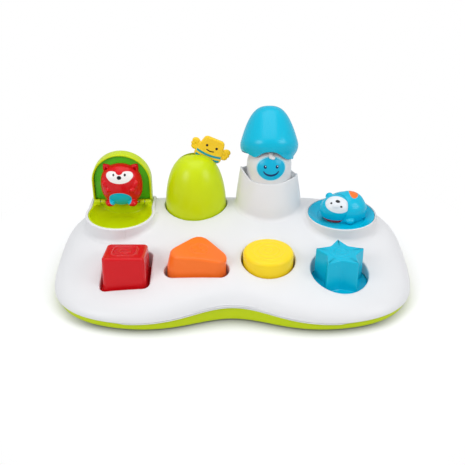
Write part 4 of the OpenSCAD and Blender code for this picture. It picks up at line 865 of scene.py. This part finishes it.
def screwTree(material):
    # cross recessed screws, heads down, on the points of the input
    g, i, o = pointTree("screwsOnPoints", {"Head Radius": 0.003, "Shaft Radius": 0.0015, "Head Base": 0.0022,
                                           "Head Height": 0.002, "Shaft Top": 0.02, "Recess": 0.0034})
    rod = lambda sides, r, long, z: made(
        g, "Transform", Geometry=made(g, "MeshCylinder", Vertices=sides, Radius=r, Depth=long),
        Translation=made(g, "CombineXYZ", n2=z))
    middle = maths(g, "ADD", i["Head Base"], maths(g, "MULTIPLY", i["Head Height"], 0.5))
    head = rod(32, i["Head Radius"], i["Head Height"], middle)
    size = made(g, "CombineXYZ", n0=i["Recess"], n1=0.0008, n2=0.0022)
    bar = made(g, "Transform", Geometry=made(g, "MeshCube", Size=size),
               Translation=made(g, "CombineXYZ", n2=i["Head Base"]))
    sunk = addNode(g, "MeshBoolean", dict(operation="DIFFERENCE"), n0=head)
    for tool in (bar, made(g, "Transform", Geometry=bar, Rotation=(0, 0, math.pi / 2))):
        g.links.new(tool, sunk.inputs[1])
    long = maths(g, "SUBTRACT", i["Shaft Top"], i["Head Base"])
    middle = maths(g, "ADD", maths(g, "ADD", i["Head Base"], 0.0005), maths(g, "MULTIPLY", long, 0.5))
    whole = addNode(g, "JoinGeometry")
    for form in (sunk.outputs[0], rod(24, i["Shaft Radius"], maths(g, "SUBTRACT", long, 0.001), middle)):
        g.links.new(form, whole.inputs[0])
    return copyForm(g, i["Geometry"], whole.outputs[0], material, o[0])


def scatter(name, points, tree, **values):
    # one piece from a node tree that copies a form onto the points
    mesh = bpy.data.meshes.new(name)
    mesh.from_pydata([(x * mm, y * mm, 0) for x, y in points], [], [])
    obj = newObject(name, mesh)
    m = obj.modifiers.new("copies", "NODES")
    m.node_group = tree
    for item in tree.interface.items_tree:
        if item.in_out == "INPUT" and item.name.replace(" ", "_") in values:
            m[item.identifier] = values[item.name.replace(" ", "_")]
    return shade(applyAll(obj))


star = dict(tip=27.4, notch=16.2, plate=32, base=23.5, ceiling=56, wall=2.6, top=60.6, edge=1.3)
cover = place(buildCover(), "case", "white", "top_cover")
print("cover:", len(cover.data.polygons), "faces")
bottomShell = place(buildBottom(), "case", "lime", "bottom_shell")
print("bottom shell:", len(bottomShell.data.polygons), "faces")
feet = scatter("rubberFeet", [(x, y) for x in (-140, 140) for y in (-70, 70)], footTree(finishes["foot"]),
               Radius=0.008, Height=0.0012, Sides=56)
place(feet, "case", "foot", "rubber_feet")
screws = scatter("caseScrews", screwsAt, screwTree(finishes["steel"]),
                 Head_Base=0.0022, Head_Height=0.002, Shaft_Top=0.02)
place(screws, "case", "steel", "case_screws")
place(buildTray(), "case", "lime", "fox_tray")
place(buildDome(), "case", "lime", "bush_dome")
place(buildMountain(), "case", "white", "mountain_shell")
print("case: tray, dome and mountain")


def cup(x, y, r, bore, low, high):
    # a sleeve round a guide post, closed above
    rows = ((bore, high - 2), (bore, low + 0.3), (bore + 0.3, low), (r - 0.2, low), (r, low + 0.2),
            (r, high - 0.3), (r - 0.3, high))
    return loft("sleeve", spinLoops(rows, x, y, 32))


def bump(far, width, height):
    return height * np.exp(-(far / width) ** 4)


def buildKey(name, key, centre, line, plate, top, height):
    # a hollow key: its inside, plate, wall and a top with a soft edge and a low relief
    base, ceiling, edge, draft = key["base"], key["ceiling"], key["edge"], key["draft"]
    inner, up = line(-2.5), base + 2
    loops = [flat(centre + (inner - centre) * k, ceiling) for k in (0.15, 0.6, 0.93)]
    loops += [flat(inner, ceiling - 1.2), flat(inner, base), flat(plate(-0.2), base), flat(plate(0), base + 0.2)]
    loops += [flat(plate(0), up - 0.3), flat(plate(-0.3), up)]
    loops += [flat(line(0.7 + draft), up), flat(line(0.15 + draft), up + 0.6)]
    for k in np.linspace(0.06, 1, 14):
        q = line(draft * (1 - 2 * k))
        loops.append(flat(q, (up + 0.6) * (1 - k) + (top(*q.T) - edge) * k))
    for a in arc(15, 90, 6):
        q = line(-draft - edge * (1 - math.cos(a)))
        loops.append(flat(q, top(*q.T) - edge * (1 - math.sin(a))))
    return loft(name, loops + relief(line(-draft - edge), height, centre, top), smooth=30)


square = dict(half=22.3, corner=5.6, plate=26.8, base=23.5, ceiling=49.5, top=66, lean=10.5, edge=2.4, draft=0.7)


def buildSquare():
    at = np.array(squareAt)
    top = lambda x, y: square["top"] - (y - (at[1] - 22.5)) * math.tan(math.radians(square["lean"]))
    line = lambda g: squareBox(at, square["half"] + g, max(2.8, square["corner"] + g), 200)
    plate = lambda g: squareBox(at, square["plate"] + g, 7 + g, 200)

    def height(x, y):
        u, v = np.abs(x - at[0]), np.abs(y - at[1])
        return bump((u ** 4 + v ** 4) ** 0.25 - 12.5, 0.8, 0.5) + bump(np.hypot(u, v) - 5.2, 0.8, 0.5)
    body = buildKey("squareButton", square, at, line, plate, top, height)
    rib = box("rib", -126.4, -120.4, -31.2, -26.2, 13, 24.5, 0.5, 0.3, 32)
    return shade(join("squareButton", body, cup(*squareAt, 5.8, 3.8, 23.5, 52), rib), 32)


triangle = dict(front=-62, wide=63, deep=49, corner=12.4, plate=(-66.3, 72.6, 60.3), base=14.5, ceiling=46.5,
                top=58.2, tilt=7, ridge=-36.5, fall=0.05, edge=2.8, draft=0.8, leanFrom=0.044, lean=0.2,
                leverRoom=(-53.2, -42.8, -28, 20, 5, 21.5))


def buildTriangle():
    at = np.array(triangleAt)
    front, wide, deep = triangle["plate"]
    top = lambda x, y: (triangle["top"] - (x - at[0]) * math.tan(math.radians(triangle["tilt"]))
                        - triangle["fall"] * np.abs(x - triangle["ridge"]))
    line = lambda g: soften(triLine(at[0], triangle["front"] - g, triangle["wide"] + 2 * g, triangle["deep"] + 2.2 * g,
                                    triangle["corner"] + 0.6 * g, 210), 16)
    plate = lambda g: triLine(at[0], front - g, wide + 2 * g, deep + 2 * g, 10, 210)

    def height(x, y):
        u, v = x - at[0], y - at[1]
        far = np.hypot(u, v)
        rays = np.abs(np.sin(1.5 * np.arctan2(v, u) + 0.78)) * far
        return bump(far - 9.5, 0.8, 0.45) + bump(rays, 0.9, 0.45) * (far > 3) * (far < 7.5)
    body = cut(buildKey("triangleButton", triangle, at, line, plate, top, height), cutter(*triangle["leverRoom"]))
    for v in body.data.vertices:    # the top leans a little to the right
        v.co.x += max(v.co.z - triangle["leanFrom"], 0) * triangle["lean"]
    return shade(join("triangleButton", body, *[cup(x, -52, 5.1, 3.3, 14.5, 44) for x in (-53.6, -21.6)]), 32)


disk = dict(radius=27, plate=30.3, base=14.5, ceiling=50.5, top=54, edge=4, draft=0.2, rings=(17.5, 11, 4.5),
            leverRoom=((32.8, 43.2, -32, 20, 5, 21.5), (29.4, 46.6, -11, 2, 5, 22)))


def buildRound():
    at = np.array(roundAt)
    line = lambda g: circleLine(*at, disk["radius"] + g, 200)
    plate = lambda g: circleLine(*at, disk["plate"] + g, 200)
    height = lambda x, y: sum(bump(np.hypot(x - at[0], y - at[1]) - r, 0.9, 0.5) for r in disk["rings"])
    body = buildKey("roundButton", disk, at, line, plate, lambda x, y: disk["top"] + 0 * x, height)
    cut(body, *[cutter(*room) for room in disk["leverRoom"]])
    return shade(join("roundButton", body, *[cup(x, -46, 5.1, 3.3, 14.5, 44) for x in (23, 53)]), 32)


def buildStar():
    at, base, shoulder = np.array(starAt), star["base"], star["top"] - star["edge"]
    a = np.radians(90 + np.arange(200) * 1.8)
    inner = starLine(-star["wall"])
    loops = [flat(at + (inner - at) * k, star["ceiling"]) for k in (0.2, 0.9)]
    loops += [flat(inner, star["ceiling"] - 0.5), flat(inner, base)]
    loops += [flat(around(*at, star["plate"] - d, a), base + up) for d, up in (
        (0.3, 0), (0, 0.2), (0, 0.8), (0.3, 1), (2.4, 1.1), (2.7, 1.4), (2.7, 1.7), (3, 2))]
    loops += [flat(starLine(1.2), base + 2), flat(starLine(0.6), base + 2.6)]
    loops += [flat(starLine(0.4 - 0.8 * k), (base + 2.6) * (1 - k) + shoulder * k)
              for k in np.linspace(0.05, 1, 14)]
    loops += [flat(starLine(-0.4 - star["edge"] * (1 - math.cos(t))), shoulder + star["edge"] * math.sin(t))
              for t in arc(18, 90, 5)]

    def height(x, y):
        far = np.hypot(x - at[0], y - at[1])
        return bump(far - 7, 0.8, 0.5) + bump(far, 1.6, 0.5) + bump(far - 11.5, 0.7, 0.4)
    body = loft("starButton", loops + relief(starLine(-1.7), height, at, lambda x, y: star["top"] + 0 * x), smooth=30)
    p = np.array([(-37.5, 24.5), (-37.5, 13), (-36, 13), (-25.5, 23.5), (-25.5, 24.5)])
    wedge = slab("wedge", resample(p, 60), 107.6, 113.6, "x", 0.2, 1)
    return shade(join("starButton", body, cup(*starAt, 5.8, 3.8, 23.5, 52), wedge), 32)


place(buildSquare(), "square_key", "red", "square_button")
place(buildTriangle(), "triangle_key", "orange", "triangle_button")
place(buildRound(), "round_key", "yellow", "round_button")
place(buildStar(), "star_key", "sky", "star_button")

pressSpring = dict(low=3.85, high=23.4, wide=5.1, wire=0.6, turns=6)
for name, joint, c, node in (("squareSpring", "square_press", squareAt, "square_spring"),
                             ("starSpring", "star_press", starAt, "star_spring")):
    wire = pressSpring["wire"]
    spring = coil(name, (*c, pressSpring["low"] + wire), (0, 0, pressSpring["high"] - pressSpring["low"] - 2 * wire),
                  (1, 0, 0), (0, 1, 0), pressSpring["wide"], wire, pressSpring["turns"])
    place(spring, "case", "steel", node)
    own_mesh(spring)
print("buttons")


lid = dict(half=34, low=62.7, middle=88.4, front=55.9, back=66.9, wall=2.2, lining=67.7)


def archLine(g):
    w, z = lid["half"] - g, lid["low"] + g
    p = np.vstack([[(1 - w, z), (w - 1, z), (w, z + 1)], around(0, lid["middle"], w, arc(0, 180, 60)), [(-w, z + 1)]])
    return resample(p + (leftX, 0), 260)


def atY(line, y):
    return flat(line, y)[:, (0, 2, 1)]


def buildLid():
    middle, inner = np.array([leftX, 88.0]), archLine(lid["wall"])
    loops = [atY(middle + (inner - middle) * k, lid["lining"]) for k in (0.2, 0.9)]
    loops += [atY(inner, lid["lining"]), atY(archLine(2.15), 56)]
    loops += [atY(archLine(1 + math.cos(t)), lid["front"] - math.sin(t)) for t in arc(0, 180, 9)]
    loops += [atY(archLine(0), 60), atY(archLine(0), lid["back"])]
    loops += [atY(archLine(3 * (1 - math.cos(t))), lid["back"] + 3 * math.sin(t))
              for t in np.radians((22, 45, 68, 90))]
    body = loft("lidShell", loops, smooth=40)
    cut(body, *[rodX("room", x, *lidAxis, 3.7, 0.1, 1, 40) for x in pair(leftX, 25.3, 34.6)])
    lugs = [rodX("lug", x, *lidAxis, 2.8, 0.5) for x in pair(leftX, 20, 25.2)]
    return shade(join("lidShell", body, *lugs), 40)


def buildLatch():
    # the hook over the shut lid, on its pin, with the foot that the square button moves
    y, z = latchAxis
    x = latchRoom["x"] - 3, latchRoom["x"] + 3
    parts = [box("foot", *x, -25.9, y, 8, 12), box("arm", *x, y - 1.8, y + 1.8, 8, z + 5), rodX("eye", x, y, z, 3.4),
             box("post", *x, -4.5, -2.6, z + 4, 59.8), box("hook", *x, -4.5, -0.8, 57.8, 59.8)]
    return shade(join("lidLatch", *parts))


# the fox: its middle, height and widths, then the ball forms on both sides (x and lean follow the side)
fox = dict(x=-127.4, y=57.2, foot=63.3, height=47.8, half=24.0, depth=17.8, back=58.3, forms=(
    ("ear", 14.6, 58.8, 103.2, (5.6, 3.6, 7.4), 28), ("tip", 17.6, 58.6, 107.4, (2.4, 2.6, 3.4), 28),
    ("arm", 16.6, 46.4, 88.6, (3.4, 3.6, 6.6), 26), ("hand", 13.6, 43.6, 84.2, (3.5, 3.4, 3.0), 0),
    ("foot", 12.8, 46.4, 67.0, (5.8, 7.0, 4.4), 0)), hollow=("hollow", 15.4, 54.9, 104.0, (2.3, 2.0, 4.0), 28))


def foxForms(*forms):
    return [ball(name, (fox["x"] + s * x, y, z), r, s * turn) for s in (-1, 1) for name, x, y, z, r, turn in forms]


def buildFox():
    t = 0.5 - 0.5 * np.cos(np.linspace(0.12, math.pi - 0.08, 34))
    r = fox["half"] * np.sqrt(np.maximum(0, 1 - (np.abs(2 * t - 0.92) / 1.08) ** 2.5))
    squeeze = np.array([1, fox["depth"] / fox["half"], 1])
    pear = [loop * squeeze + (fox["x"], fox["y"], 0)
            for loop in spinLoops(zip(r, fox["foot"] + fox["height"] * t), 0, 0, 72)]
    body = knit(join("foxBody", loft("pear", pear), *foxForms(*fox["forms"])), 0.6, 4)
    hollows = foxForms(fox["hollow"])
    cut(body, *[cutter(-190, -60, y, 120, 30, z) for y, z in ((fox["back"], 150), (10, 63.3), (54.5, 65.3))], *hollows)
    return shade(body, 50)


front, x = facing("Y", 55), fox["x"]
foxMask = without(both(front, either(twoOvals(-134.6, -120.2, 101.0, 8.0, 5.0), oval(x, 98.6, 13.2, 5.0))),
                  oval(x, 107.2, 4.4, 4.2))
redFox = plastic("redFox", (214, 14, 24), 0.2, 0.012, paint=[
    (foxMask, (240, 238, 236)), (both(front, oval(x, 100.2, 2.6, 2.0, 0.1)), ink),
    (both(front, twoOvals(-133.8, -121.0, 102.8, 1.25, 1.35, 0.12)), ink),
    (both(facing("Y", 52), oval(-128.0, 73.0, 13.0, 9.2, 0.03)), skyBlue)])
place(buildLid(), "lid", "lime", "lid_shell")
liner = slab("lidLiner", archLine(2.55), fox["back"] + 0.2, lid["lining"], "y", 0.5, 3)
place(liner, "lid", "deep_green", "lid_liner")
place(buildFox(), "lid", "red", "fox_body", redFox)
place(buildLatch(), "latch", "lime", "lid_latch")
pins = join("lidHingePin", *[rodX("pin", u, *lidAxis, 1.5, 0.3) for u in pair(leftX, 19.4, 32.8)])
place(pins, "case", "steel", "lid_hinge_pin")
lidSpring = coil("lidSpring", (leftX + 18.6, *lidAxis), (-3.4, 0, 0), (0, 1, 0), (0, 0, 1), 1.2, 0.3, 4)
place(lidSpring, "case", "steel", "lid_spring")
print("lid and fox")


# the bee leans round its pivot; plate is its outline's corners, and each lobe has a place, radii, thickness and lean
bee = dict(x=-42.5, y=64.0, z=89.4, lean=23.8, plate=((-10.2, 31.3), (13.2, 31.3), (10.2, 49.6), (-6.2, 49.6)),
           lobes=((13.0, 40.6, 6.0, 4.2, 1.9, -12), (18.6, 43.6, 4.6, 4.0, 2.0, 0),
                  (17.4, 36.6, 4.6, 3.4, 2.0, 0), (20.6, 40.0, 2.6, 2.4, 1.9, 0)))


def onBee(u, w):
    c, s = math.cos(math.radians(bee["lean"])), math.sin(math.radians(bee["lean"]))
    return bee["x"] + u * c + w * s, bee["z"] - u * s + w * c


def beeBall(u, w, ru, rw, thick, lean=0.0):
    x, z = onBee(u, w)
    return ball("lobe", (x, bee["y"], z), (ru, thick, rw), bee["lean"] + lean)


def buildBee():
    line = soften(resample(roundCorners(bee["plate"], 4.4, 12), 140), 4)
    parts = [slab("plate", np.array([onBee(*p) for p in line]), bee["y"] - 2.5, bee["y"] + 2.5, "y", 1.4, 4)]
    parts += [beeBall(1.4 + s * u, w, ru, rw, thick, s * lean)
              for s in (-1, 1) for u, w, ru, rw, thick, lean in bee["lobes"]]
    return knit(join("beeBody", *parts, beeBall(1.2, 52.6, 3.0, 1.6, 1.8)), 0.4, 3)


turnBee = dict(shift=(bee["x"], 0, bee["z"]), turn=(0, bee["lean"], 0))


def band(z, r, width):
    # a painted ring on the bee, of the given lowest height, middle radius and width
    return without(*[oval(1.6, z + r, r + w, r + w, 0.2 / r, **turnBee) for w in (width / 2, -width / 2)])


beeFace, trunk = facing("Y", bee["y"]), oval(1.6, 36, 14.6, 30, 0.01, **turnBee)
yellowBee = plastic("yellowBee", (252, 208, 40), 0.28, 0.015, paint=[
    (both(trunk, either(band(33.4, 52, 2.7), band(28.4, 52, 2.7))), (28, 158, 176)),
    (both(beeFace, twoOvals(-4.2, 7.4, 44.2, 1.45, 1.6, 0.1, **turnBee)), ink),
    (both(beeFace, band(38.6, 9.5, 1.3), oval(1.6, 37.6, 6.4, 3.1, 0.05, **turnBee)), ink)])
place(buildBee(), "bee", "yellow", "bee_body", yellowBee)
print("bee")


head = dict(ball=25.2, middle=110.2, lowRadius=23.5, tuft=0.2)
face = dict(x=42.6, z=114.6, wide=16.3, tall=13.2)


def buildColumn():
    r, middle, low = head["ball"], head["middle"], head["lowRadius"]
    rows = [(10, 36.6), (low - 0.6, 36.6), (low, 37.2), (low, 66), (r, 74)]
    rows += [(r, z) for z in np.linspace(78, middle - 2, 7)]
    rows += [(r * math.cos(a), middle + r * math.sin(a)) for a in np.linspace(0, math.pi / 2 * 0.985, 30)]
    body = loft("headColumn", spinLoops(rows, *hillAt, 160), smooth=60)
    # the cheeks that the round button's lever reaches between
    cheeks = [box("cheek", m - 1.6, m + 1.6, *sizes, 0.5, 0.3, 32) for m in (31.4, 44.6) for sizes in (
        (51.7, 55.1, 24.1, 37.5), (61.3, 64.3, 24.1, 37.5), (51.7, 64.3, 24.1, 26.1))]
    return shade(join("headColumn", body, *cheeks), 60)


def buildFace():
    a = np.arange(120) * 2 * math.pi / 120
    rows = [(k, 0.6) for k in (0.12, 0.5, 0.8, 0.97)]
    rows += [(1, 0.3), (1, -0.1), (0.988, -0.34), (0.962, -0.42), (0.92, -0.42)]
    rows += [(k, -0.42) for k in np.linspace(0.84, 0.12, 9)]
    loops = []
    for k, deep in rows:
        u, w = face["wide"] * k * np.cos(a) + face["x"] - hillAt[0], face["z"] + face["tall"] * k * np.sin(a)
        depth = np.sqrt(np.maximum(head["ball"] ** 2 - np.maximum(w - head["middle"], 0) ** 2 - u ** 2, 4.0))
        loops.append(np.column_stack([hillAt[0] + u, hillAt[1] - depth + deep, w]))
    return loft("faceDisc", loops, smooth=50)


def buildTuft():
    # a small curl that runs forward over the crown and ends above the face
    def over(side, up, degrees):
        r, a = head["ball"] + up, math.radians(degrees)
        return hillAt[0] + side, hillAt[1] - r * math.cos(a), head["middle"] + r * math.sin(a)
    parts = [ball("root", over(0, -0.4, 90), (4.0, 4.2, 2.4)), ball("curl", over(3.0, 0.8, 39), (2.6, 1.8, 2.0))]
    parts += [ball("lock", over(0.1 * k, head["tuft"], 90 - k * 5.4), (3.6 - 0.12 * k, 3.6 - 0.12 * k, 2.2 - 0.06 * k))
              for k in range(10)]
    return knit(join("hairTuft", *parts), 0.5, 4)


x, z = face["x"], face["z"]
faceBlue = plastic("faceBlue", (0, 178, 216), 0.26, 0.012, paint=[
    (without(oval(x, z, 30, 30), oval(x, z, 15.4, 12.4, 0.012)), (150, 226, 240)),
    (without(both(oval(x, 112.8, 8.8, 6.2, 0.04), facing("Z", 112.6)), oval(x, 114.0, 8.0, 4.9, 0.03)), (10, 52, 104)),
    (twoOvals(36.0, 49.2, 117.4, 1.7, 1.9, 0.08), (10, 44, 92)),
    (twoOvals(36.5, 49.7, 118.0, 0.5, 0.5, 0.1), (240, 246, 250))])
place(buildColumn(), "creature", "white", "head_column")
place(buildFace(), "creature", "sky", "face_disc", faceBlue)
place(buildTuft(), "creature", "white", "hair_tuft")


cap = dict(height=54.0, wide=32.8, middle=32.1, lean=28.5, front=-0.8, leftLobe=7.0, rightLobe=4.2, gap=0.9, wall=1.8,
           knuckle=4.6, count=200)


def capRadius(z, g):
    # a tall soft drop: steep shoulders, widest near the rim, then curling in
    down = np.maximum(cap["height"] - g - z, 0)
    high = cap["wide"] * (np.minimum(down, 42) / 42) ** 0.34
    return np.maximum(high - 5.8 * (np.clip(down - 44, 0, None) / 13) ** 2, np.minimum(high, 27.2)) - g


def capPoint(y, z):
    # from the shut cap's own frame to the leaning cap
    c, s = math.cos(math.radians(cap["lean"])), math.sin(math.radians(cap["lean"]))
    return capAxis[0] + y * c + z * s, capAxis[1] - y * s + z * c


def buildCap():
    a = np.arange(cap["count"]) * 2 * math.pi / cap["count"]
    hump = lambda mid, half: np.exp(-((np.degrees(a) - mid) / half) ** 2)
    # the wavy rim follows the mountain's snow line, with a lobe on both sides of the front
    wave = (snowLine(a) + cap["front"] * hump(270, 20) - cap["leftLobe"] * hump(230, 22)
            - cap["rightLobe"] * hump(313, 22) + cap["gap"])

    def ring(k, g, lift=0.7):
        z = (wave + lift) * (1 - k) + (cap["height"] - g) * k
        r = np.maximum(capRadius(z, g), 0.2)
        return np.column_stack([hillAt[0] + r * np.cos(a), *capPoint(r * np.sin(a) - cap["middle"], z)])
    curve = np.sin(arc(0, 88, 34))
    loops = [ring(k, cap["wall"]) for k in curve[::-1]]
    loops += [ring(0, 0.9 + 0.9 * math.cos(t), 0.7 - 0.7 * math.sin(t)) for t in arc(30, 150, 5)]
    body = loft("snowCap", loops + [ring(k, 0.0) for k in curve], smooth=60)
    span = hillAt[0] - cap["knuckle"], hillAt[0] + cap["knuckle"]
    p = np.array([capPoint(*q) for q in ((-4, 0), (0, 0), (0, 3), (-4, 3))])
    bridge = slab("bridge", resample(p, 40), *span, "x", 0.3, 2)
    return shade(join("snowCap", body, rodX("knuckle", span, *capAxis, 2.6), bridge), 60)


place(buildCap(), "cap", "sky", "snow_cap")
print("creature and cap")


# radius and height along the dish's upper face, then its lower face; the bead on its rim comes between them
dish = dict(upper=((3, 57), (14, 57), (25.6, 57), (26.1, 57.1), (26.5, 57.6), (27.0, 57.9), (28, 58.0),
                   (30, 58.5), (32, 59.3), (34, 60.3), (35.4, 61.2), (36.3, 61.7)), bead=(36.5, 61.0, 0.9),
            lower=((36.5, 59.9), (35, 58.2), (33.2, 57.1), (31, 56), (28.6, 55.2), (27, 55), (12, 55), (3, 55)))


def buildDish():
    r, z, half = dish["bead"]
    bead = [(r + half * math.sin(t), z + half * math.cos(t)) for t in arc(0, 125, 6)]
    return loft("spinnerDish", spinLoops([*dish["upper"], *bead, *dish["lower"]], pod["x"], pod["y"], 200), smooth=35)


cub = dict(floor=57.15, body=(
    ("trunk", (127.0, 33.0, 65.4), (25.2, 20.0, 20.2)), ("back", (131.5, 35.0, 67.0), (19.4, 17.0, 19.0)),
    ("foot", (145.0, 26.0, 61.4), (5.0, 5.0, 4.4)), ("tail", (147.6, 46.8, 66), (3.6, 3.6, 3.6)),
    ("paw", (131.0, 14.4, 60.4), (5.2, 4.4, 3.6))), head=(
    ("skull", (117.0, 27.0, 69.0), (18.4, 15.4, 16.8)), ("muzzle", (115.6, 19.6, 77.0), (7.6, 6.4, 5.6)),
    ("ear", (109.6, 36.6, 79.6), (4.6, 3.8, 4.8))))


def buildCub(name, forms, *tools):
    body = knit(join(name, *[ball(*form) for form in forms]), 0.6, 5)
    room = disc("room", pod["x"], pod["y"], 4, 50, 60.5, 40, 0.2, 3)
    cut(body, *tools, cutter(60, 190, -40, 110, 20, cub["floor"]), room)
    return shade(body, 60)


# the face's own plane: u to the right and v towards the crown, on the head's slanting front
cubTurn = dict(shift=(115.8, 18.4, 79.0), turn=(-40, 3, -24))
cubSky = plastic("cubSky", skyBlue, 0.24, 0.014, paint=[
    (both(facing("Z", 61.4), facing("Y", 30)), (214, 30, 44)),
    (oval(0, 0, 13.0, 9.6, 0.03, **cubTurn), (226, 230, 234)),
    (oval(0.4, 3.2, 2.5, 1.8, 0.08, **cubTurn), ink),
    (either(oval(-5.8, -0.6, 1.2, 1.2, 0.12, **cubTurn), oval(5.6, -1.6, 1.2, 1.2, 0.12, **cubTurn)), ink)])
cubBlue = plastic("cubBlue", skyBlue, 0.24, 0.014, paint=[
    (both(facing("Z", 79.5, "GREATER_THAN"), oval(137.6, 88.0, 7.2, 5.4, 0.04)), (244, 120, 44))])
place(buildDish(), "spinner", "sky", "spinner_dish")
_, skullAt, skullSize = cub["head"][0]
neck = ball("neck", skullAt, tuple(r + 0.3 for r in skullSize))
place(buildCub("cubBody", cub["body"], neck), "spinner", "sky", "cub_body", cubBlue)
place(buildCub("cubHead", cub["head"]), "spinner", "sky", "cub_head", cubSky)
print("spinner")

for row in frame["record"]["subparts"]:
    part = frame["nodes"][row["node"]]
    if not part.hide_render:
        part.data.materials.clear()
        part.data.materials.append(finishes[row["material_slot"]])
print("small parts painted")
